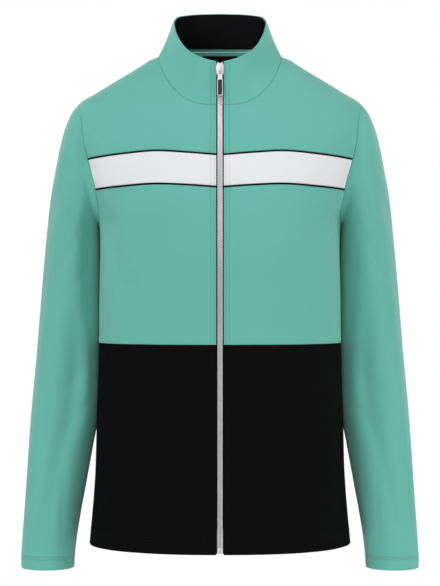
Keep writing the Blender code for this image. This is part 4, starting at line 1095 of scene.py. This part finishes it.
def zip_teeth():
    """The closed chain's teeth, two interlocked rows, as one mesh."""
    points, direction, up = even_points(*centre_path(TEETH_FOOT, TEETH_HEAD), TOOTH_PITCH)
    outline = np.array(TOOTH_OUTLINE)
    middle, size, layers = outline.mean(axis=0), len(outline), len(TOOTH_LAYERS)
    template = np.concatenate([middle + (outline - middle) * share for _, share in TOOTH_LAYERS])
    depths = np.repeat([depth for depth, _ in TOOTH_LAYERS], size)
    faces = [tuple(range(size))[::-1], tuple(range((layers - 1) * size, layers * size))]
    faces += tube_faces(layers, size)
    verts, all_faces, count = [], [], 0
    for side in (1, -1):
        shift = direction * (TOOTH_PITCH / 2 if side < 0 else 0)
        for point, ahead, out in zip(points + shift, direction, up):
            verts.append(point + np.outer(template[:, 0] * side, (1, 0, 0))
                         + np.outer(template[:, 1], ahead) - np.outer(depths, out))
            all_faces += [tuple(v + count for v in face[::side]) for face in faces]
            count += len(template)
    return new_mesh("zip_teeth", np.concatenate(verts), all_faces)


def mesh_of(bm, name):
    """The mesh of what a bmesh holds."""
    mesh = bpy.data.meshes.new(name)
    bm.to_mesh(mesh)
    bm.free()
    return mesh


def move_points(mesh, move):
    """Put a mesh's points where a function of them says."""
    points = np.empty(len(mesh.vertices) * 3)
    mesh.vertices.foreach_get("co", points)
    mesh.vertices.foreach_set("co", move(points.reshape(-1, 3)).reshape(-1))


def metal_block(name, node, x, y, z, bevel, low, high):
    """A small block midway between two heights of the zip; y grows inwards from the cloth's face."""
    bm = bmesh.new()
    corners = [bm.verts.new((across, depth, height)) for across in x for depth in y for height in z]
    for face in ((0, 1, 3, 2), (4, 6, 7, 5), (0, 4, 5, 1), (2, 3, 7, 6), (0, 2, 6, 4), (1, 5, 7, 3)):
        bm.faces.new([corners[k] for k in face])
    bmesh.ops.recalc_face_normals(bm, faces=bm.faces)
    bmesh.ops.bevel(bm, geom=bm.edges[:], offset=bevel, segments=3, affect="EDGES", profile=0.6)
    mesh = mesh_of(bm, name)
    centre, out = (line[PATH_POINTS // 2] for line in centre_path(low, high))
    frame_axes = np.array([(1, 0, 0), -out, unit(np.cross((1, 0, 0), -out))])
    move_points(mesh, lambda points: centre + points @ frame_axes)
    place_piece(name, mesh, NICKEL, node, sharp=35)


def build_zip():
    """Tapes, beads, teeth, bottom box and top stops."""
    head = COLLAR_TOP[0][3]
    edge, edge_out = front_line(ZIP_OPENING / 2, TAPE_FOOT)
    lines = [front_line(x, TAPE_FOOT) if x > ZIP_OPENING / 2
             else (edge * (0, 1, 1) + (x, 0, 0), across_zip(edge_out)) for x in TAPE_LINES]
    grid, normals = (np.array(part).swapaxes(0, 1) for part in zip(*lines))
    bead, bead_out = centre_path(ZIP_FOOT + BOX_LENGTH, head - 0.001)
    for word, side in SIDES:
        shell_piece("tape_" + word, on_side(side, grid), on_side(side, normals), TAPE_DEPTH,
                    TAPE_DEPTH + TAPE_CLOTH, ZIP_TAPE, "zip_tape", "zip_tape_" + word, "tape")
        points = bead[:, None] * (0, 1, 1) + np.outer(BEAD_LINES, (1, 0, 0))[None]
        out = np.broadcast_to(bead_out[:, None], points.shape)
        shell_piece("zip_bead_" + word, on_side(side, points), out, *BEAD_DEPTHS, ZIP_BEAD, "zip_tape")
    place_piece("zip_teeth", zip_teeth(), NICKEL, "zip_chain", sharp=35)
    metal_block("zip_box", "zip_bottom_box", *BOX_BLOCK, ZIP_FOOT, ZIP_FOOT + BOX_LENGTH)
    for word, side in SIDES:
        metal_block("zip_stop_" + word, "zip_top_stop_" + word, sorted(side * x for x in STOP_EDGES),
                    *STOP_BLOCK, SLIDER_TOP + SEAM_GAP, head)


# ---------------------------------------------------------------- slider and pull

SLIDER_AT = (0.0, -0.075839, SLIDER_TOP)
SLIDER_LEAN = -0.1252       # about X, with the collar
PULL_AT = (0.0, -0.079841, -0.028874)
SLIDER_OUTLINE = [
    # across, down from the slider's top
    (-0.0044, -0.0150), (0.0044, -0.0150), (0.0052, -0.0050), (0.0039, 0.0), (-0.0039, 0.0),
    (-0.0052, -0.0050),
]
PLATE_FRONT = -0.0017
PLATE_BACK = -0.0005
REAR_PLATE = (0.0039, 0.0048)
POST_HALF = 0.0012
BRIDGE_PATH = [
    # out from the cloth's face, down from the slider's top
    (-0.0014, -0.0016), (-0.0034, -0.0022), (-0.0046, -0.0036), (-0.0048, -0.0062), (-0.0048, -0.0092),
    (-0.0045, -0.0112), (-0.0034, -0.0127), (-0.0014, -0.0136),
]
BRIDGE_HALF_WIDTH = 0.0012
BRIDGE_HALF_THICK = 0.0005
PULL_LENGTH = 0.0335
PULL_HALF_WIDTH = 0.0037
PULL_HALF_THICK = 0.0009
LINK_LENGTH = 0.0115
EYE_HALF_WIDTH = 0.0028
EYE_BAR = 0.0012
PULL_RIM = 0.0009


def rounded_outline(u0, v0, u1, v1, radius, steps=5):
    """Outline of a rectangle with rounded corners."""
    outline = []
    for cu, cv, start in ((u1 - radius, v1 - radius, 0), (u0 + radius, v1 - radius, 90),
                          (u0 + radius, v0 + radius, 180), (u1 - radius, v0 + radius, 270)):
        for k in range(steps):
            a = math.radians(start + 90 * k / (steps - 1))
            outline.append((cu + radius * math.cos(a), cv + radius * math.sin(a)))
    return outline


def ease(bm, faces, sharp, offset):
    """Bevel the edges of new faces that bend more than an angle in degrees."""
    bmesh.ops.recalc_face_normals(bm, faces=faces)
    edges = dict.fromkeys(edge for face in faces for edge in face.edges
                          if edge.calc_face_angle(0) > math.radians(sharp))
    bmesh.ops.bevel(bm, geom=list(edges), offset=offset, segments=2, affect="EDGES", profile=0.6)


def add_plate(bm, outline, y0, y1, bevel, hole=None):
    """Add a flat plate, or a frame round a hole, between two depths, with eased edges."""
    front, back, hole_front, hole_back = [
        [bm.verts.new((u, y, v)) for u, v in loop] for loop in (outline, hole or []) for y in (y0, y1)]
    faces = []
    for k in range(len(outline)):
        faces.append(bm.faces.new((front[k], back[k], back[k - 1], front[k - 1])))
        if hole:
            faces.append(bm.faces.new((hole_front[k - 1], hole_back[k - 1], hole_back[k], hole_front[k])))
            faces.append(bm.faces.new((front[k], front[k - 1], hole_front[k - 1], hole_front[k])))
            faces.append(bm.faces.new((back[k - 1], back[k], hole_back[k], hole_back[k - 1])))
    if not hole:
        faces += [bm.faces.new(front), bm.faces.new(back[::-1])]
    ease(bm, faces, 50, bevel)


def add_strap(bm, path, half_width, half_thick, bevel):
    """Add a bent strap along a path seen from the side."""
    ahead = unit(np.gradient(np.array(path), axis=0))
    out = np.stack([-ahead[:, 1], ahead[:, 0]], axis=1)
    rings = []
    for (y, z), (ny, nz) in zip(path, out * half_thick):
        rings.append([bm.verts.new((x, y + s * ny, z + s * nz))
                      for x, s in ((-half_width, -1), (half_width, -1), (half_width, 1), (-half_width, 1))])
    faces = [bm.faces.new(rings[0]), bm.faces.new(rings[-1][::-1])]
    for a, b in zip(rings, rings[1:]):
        faces += [bm.faces.new((a[k], a[k - 1], b[k - 1], b[k])) for k in range(4)]
    ease(bm, faces, 60, bevel)


def hardware(name, add_parts, at, finish, body, node):
    """A metal or rubber piece built in its own frame, then set on the leaning zip."""
    bm = bmesh.new()
    add_parts(bm)
    mesh = mesh_of(bm, name)
    c, s = math.cos(SLIDER_LEAN), math.sin(SLIDER_LEAN)
    lean = np.array([(1, 0, 0), (0, c, s), (0, -s, c)])
    move_points(mesh, lambda points: points @ lean + at)
    place_piece(name, mesh, finish, node, body=body, sharp=40)


def slider_parts(bm):
    """Front plate with its raised rim, rear plate, post and bridge."""
    add_plate(bm, SLIDER_OUTLINE, PLATE_FRONT, PLATE_BACK, 0.0003)
    raised = [(u * 0.62, -0.0066 + (v + 0.0066) * 0.70) for u, v in SLIDER_OUTLINE]
    add_plate(bm, raised, PLATE_FRONT - 0.0004, PLATE_FRONT + 0.0002, 0.0002)
    add_plate(bm, [(u * 0.96, v * 0.98) for u, v in SLIDER_OUTLINE], *REAR_PLATE, 0.0002)
    post = rounded_outline(-POST_HALF, -POST_HALF * 3.2, POST_HALF, -POST_HALF * 1.2, 0.0005)
    add_plate(bm, post, PLATE_BACK - 0.0002, REAR_PLATE[0] + 0.0002, 0.0001)
    add_strap(bm, BRIDGE_PATH, BRIDGE_HALF_WIDTH, BRIDGE_HALF_THICK, 0.0002)


def pull_parts(bm):
    """Eye and link, and the tab's frame."""
    half_bar = EYE_BAR / 2
    side = EYE_HALF_WIDTH - 0.0011
    eye = rounded_outline(-EYE_HALF_WIDTH, -LINK_LENGTH - 0.0004, EYE_HALF_WIDTH, half_bar, 0.0012)
    hole = rounded_outline(-side, -half_bar - 0.0050, side, -half_bar, 0.0006)
    add_plate(bm, eye, -half_bar, half_bar, 0.0002, hole)
    outline = rounded_outline(-PULL_HALF_WIDTH, -PULL_LENGTH, PULL_HALF_WIDTH, -LINK_LENGTH, 0.0014)
    window = rounded_outline(-PULL_HALF_WIDTH + PULL_RIM, -PULL_LENGTH + PULL_RIM,
                             PULL_HALF_WIDTH - PULL_RIM, -LINK_LENGTH - PULL_RIM, 0.0008)
    add_plate(bm, outline, -PULL_HALF_THICK, PULL_HALF_THICK, 0.0002, hole=window)


def insert_parts(bm):
    """The tab's moulded insert, crowned front and back."""
    inset = PULL_RIM + 0.0001
    outline = rounded_outline(-PULL_HALF_WIDTH + inset, -PULL_LENGTH + inset,
                              PULL_HALF_WIDTH - inset, -LINK_LENGTH - inset, 0.0007)
    add_plate(bm, outline, -PULL_HALF_THICK - 0.0002, PULL_HALF_THICK + 0.0002, 0.0003)


# ---------------------------------------------------------------- the whole jacket


def build_piping(seam, word, side):
    """The rounded cord sewn into a chest band seam."""
    shares = np.linspace(-1, 1, PIPING_ROWS + 1)
    places = np.array([seam_row(seam, share * PIPING_WIDTH / 2, PIPING_COLUMNS) for share in shares])
    points, normals = body_cloth(on_side(side, places))
    rise = PIPING_PROUD * np.sqrt(1 - shares ** 2) - PIPING_SINK * np.abs(shares)
    from_armhole = np.arange(points.shape[1])[::-side]
    run_out = np.clip(from_armhole / PIPING_END, 0.05, 1)
    ends = "_%s_%s" % (seam, word)
    shell_piece("cord" + ends, points, normals, -(rise[:, None] * run_out)[..., None], CLOTH,
                PIPING_CORD, "piping", "piping" + ends, "piping", sharp=60)


def build_body():
    """The panels of the fronts and the back."""
    for word, side in SIDES:
        for name, node, places, finish, slot in (
                ("lower_panel", "front_lower_", lower_front(), BLACK_KNIT, "black_knit"),
                ("mid_panel", "front_mid_", mid_front(), GREEN_KNIT, "green_knit"),
                ("chest_stripe", "chest_band_", band_front(), WHITE_KNIT, "white_knit"),
                ("yoke", "front_upper_", yoke_front(), GREEN_KNIT, "green_knit")):
            cloth_piece("%s_%s" % (name, word), *body_cloth(on_side(side, places)), CLOTH, finish, slot,
                        node + word, name)
    cloth_piece("lower_back_panel", *body_cloth(lower_back()), CLOTH, BLACK_KNIT, "black_knit",
                "back_lower", "lower_back")
    cloth_piece("upper_back_panel", *body_cloth(upper_back()), CLOTH, GREEN_KNIT, "green_knit",
                "back_upper", "upper_back")


def build_sleeves_and_collar():
    """The pipings, the set-in sleeves, and the stand collar with its facing."""
    points, normals = sleeve_cloth()
    for word, side in SIDES:
        for seam in ("upper", "lower"):
            build_piping(seam, word, side)
        cloth_piece("set_in_sleeve_" + word, on_side(side, points), on_side(side, normals), CLOTH,
                    GREEN_KNIT, "green_knit", "sleeve_" + word, "sleeve", closed=True)
    cloth_piece("stand_collar", *collar_cloth(), CLOTH, GREEN_KNIT, "green_knit", "collar", "collar")
    points, normals = collar_cloth(FACING_FOOT, FACING_HEAD, FACING_TURN)
    cloth_piece("collar_lining", points - normals * (CLOTH + FACING_GAP), normals, FACING_CLOTH,
                FACING_JERSEY, "collar_facing", "collar_facing", "facing")


def build_label():
    """The bare woven label inside the back neck, with its two sewn ends."""
    heights = np.linspace(LABEL_FOOT, LABEL_HEAD, LABEL_GRID[0] + 1)[:, None]
    across = np.linspace(LABEL_HALF_WIDTH, -LABEL_HALF_WIDTH, LABEL_GRID[1] + 1)[None, :]
    angle = angle_at_x(np.abs(across), heights, False)
    angle = np.where(across < 0, 360 - angle, angle)
    points, normals = body_cloth(np.stack([angle, np.broadcast_to(heights, angle.shape)], axis=-1))
    back = LABEL_DEPTH + LABEL_CLOTH
    shell_piece("bare_label", points, normals, LABEL_DEPTH, back, LABEL_SATIN, "label",
                "neck_label", "label")
    face = points - normals * back
    ends = [(face[:, column], -normals[:, column]) for column in (1, -2)]
    sew("label_stitches", ends, BLACK_THREAD, spacing=0.0022, thread=0.00018)


def cuff_line(sleeve, out, height):
    """Points and normals of the ring at a height above the left cuff, measured along the cloth."""
    up_from_cuff = np.cumsum(np.linalg.norm(np.diff(sleeve[::-1], axis=0), axis=2), axis=0)
    ring, ring_out = [], []
    for column in list(range(sleeve.shape[1])) + [0]:
        row = len(sleeve) - 1 - np.interp(height, up_from_cuff[:, column], np.arange(1, len(sleeve)))
        k = int(row)
        ring.append(sleeve[k, column] * (1 - row + k) + sleeve[k + 1, column] * (row - k))
        ring_out.append(out[k, column])
    return np.array(ring), np.array(ring_out)


def build_sewing():
    """Topstitching beside the zip, and the twin-needle hems of the body and cuffs."""
    green, white, black = [], [], []
    for x in ZIP_STITCHES:
        line = front_line(x, ZIP_STITCH_FOOT, ZIP_STITCH_HEAD)
        z = line[0][:, 2]
        low, high = (band_seams[seam](x) for seam in ("lower", "upper"))
        for points, normals in (line, flip_x(line)):
            for lines, part in ((black, z < BLOCK_SEAM), (green, (z > BLOCK_SEAM) & (z < low)),
                                (white, (z > low) & (z < high)), (green, z > high)):
                lines.append((points[part], normals[part]))
    for height in HEM_STITCHES:
        front = level_row(HEM + height, HEM_COLUMNS)[4:]
        back = whole_back(back_row(HEM + height)[None])[0]
        black += [body_cloth(places) for places in (front, on_side(-1, front[None])[0], back)]
    for height in CUFF_STITCHES:
        line = cuff_line(*sleeve_cloth(), height)
        green += [line, flip_x(line)]
    sew("green_topstitching", green, GROOVE_SHADED_GREEN_THREAD)
    sew("white_topstitching", white, GROOVE_SHADED_WHITE_THREAD)
    sew("black_topstitching", black, BLACK_THREAD)
    edge, edge_out = collar_cloth(FACING_FOOT, FACING_STITCHES, FACING_TURN)
    sink = CLOTH + FACING_GAP + FACING_CLOTH
    sew("lining_topstitching", [(edge[-1] - edge_out[-1] * sink, -edge_out[-1])], BLACK_THREAD)


# ---------------------------------------------------------------- floor, light and camera

FLOOR_RADIUS = 1.45
FLOOR_HEIGHT = -1.05
SOFT_FILL = 0.10            # the white room's light, dimmer on the cloth than the backdrop looks
SOFT_LIGHTS = [
    # name, place, size, watts
    ("key", (-2.3, -1.9, 0.9), 1.6, 54), ("side", (2.8, -0.9, 0.0), 1.6, 46),
    ("top", (0.0, -1.9, 2.2), 1.4, 34), ("front", (0.0, -3.4, 0.2), 1.2, 22),
    ("back_left", (-1.9, 2.4, 0.9), 1.6, 44), ("back_right", (1.9, 2.4, 0.6), 1.6, 36),
]
LIGHTS_AIM = (0, 0, -0.32)
CAMERA_PLACE = (0, -2.2, -0.3186)
CAMERA_LENS = 100.1


def link_object(name, data, place):
    """Link an object of mesh, lamp or camera data at a place."""
    obj = bpy.data.objects.new(name, data)
    obj.location = place
    bpy.context.collection.objects.link(obj)
    return obj


def build_stage():
    """A pale round floor below the hanging jacket."""
    bm = bmesh.new()
    bmesh.ops.create_circle(bm, cap_ends=True, radius=FLOOR_RADIUS, segments=96)
    mesh = mesh_of(bm, "pale_floor")
    material, tree, shader = new_material("pale floor", 0.9)
    tree.links.new(mix_colours(tree, mottled(tree, 2.0)["Patches"], (0.80, 0.80, 0.80), (0.77, 0.77, 0.775)),
                   shader.inputs["Base Color"])
    mesh.materials.append(material)
    link_object("pale_floor", mesh, (0, 0, FLOOR_HEIGHT))


def build_light_and_camera():
    """Soft studio light all round, and a level camera straight in front."""
    world = bpy.data.worlds.new("studio")
    world.use_nodes = True
    tree = world.node_tree
    soft, backdrop = tree.nodes["Background"], tree.nodes.new("ShaderNodeBackground")
    for background in (soft, backdrop):
        background.inputs["Color"].default_value = (1, 1, 1, 1)
    soft.inputs["Strength"].default_value = SOFT_FILL
    seen = tree.nodes.new("ShaderNodeMixShader")
    tree.links.new(tree.nodes.new("ShaderNodeLightPath").outputs["Is Camera Ray"], seen.inputs["Fac"])
    tree.links.new(soft.outputs[0], seen.inputs[1])
    tree.links.new(backdrop.outputs[0], seen.inputs[2])
    tree.links.new(seen.outputs[0], tree.nodes["World Output"].inputs["Surface"])
    scene = bpy.context.scene
    scene.world = world
    scene.view_settings.view_transform = "Standard"
    for name, place, size, watts in SOFT_LIGHTS:
        lamp = bpy.data.lights.new(name, "AREA")
        lamp.size, lamp.energy = size, watts
        x, y, z = np.subtract(LIGHTS_AIM, place)
        tilt, turn = math.atan2(math.hypot(x, y), -z), math.atan2(-x, y)
        link_object(name, lamp, place).rotation_euler = (tilt, 0, turn)
    camera = bpy.data.cameras.new("front_view")
    camera.sensor_width, camera.lens = 36.0, CAMERA_LENS
    scene.camera = link_object("front_view", camera, CAMERA_PLACE)
    scene.camera.rotation_euler = (math.pi / 2, 0, 0)


build_body()
build_sleeves_and_collar()
build_label()
build_zip()
hardware("slider", slider_parts, SLIDER_AT, NICKEL, "garment", "zip_slider")
hardware("pull_tab", pull_parts, PULL_AT, NICKEL, "pull", "zip_pull")
hardware("pull_insert", insert_parts, PULL_AT, PULL_RUBBER, "pull", "zip_pull_insert")
build_sewing()
build_stage()
build_light_and_camera()

bpy.context.view_layer.update()
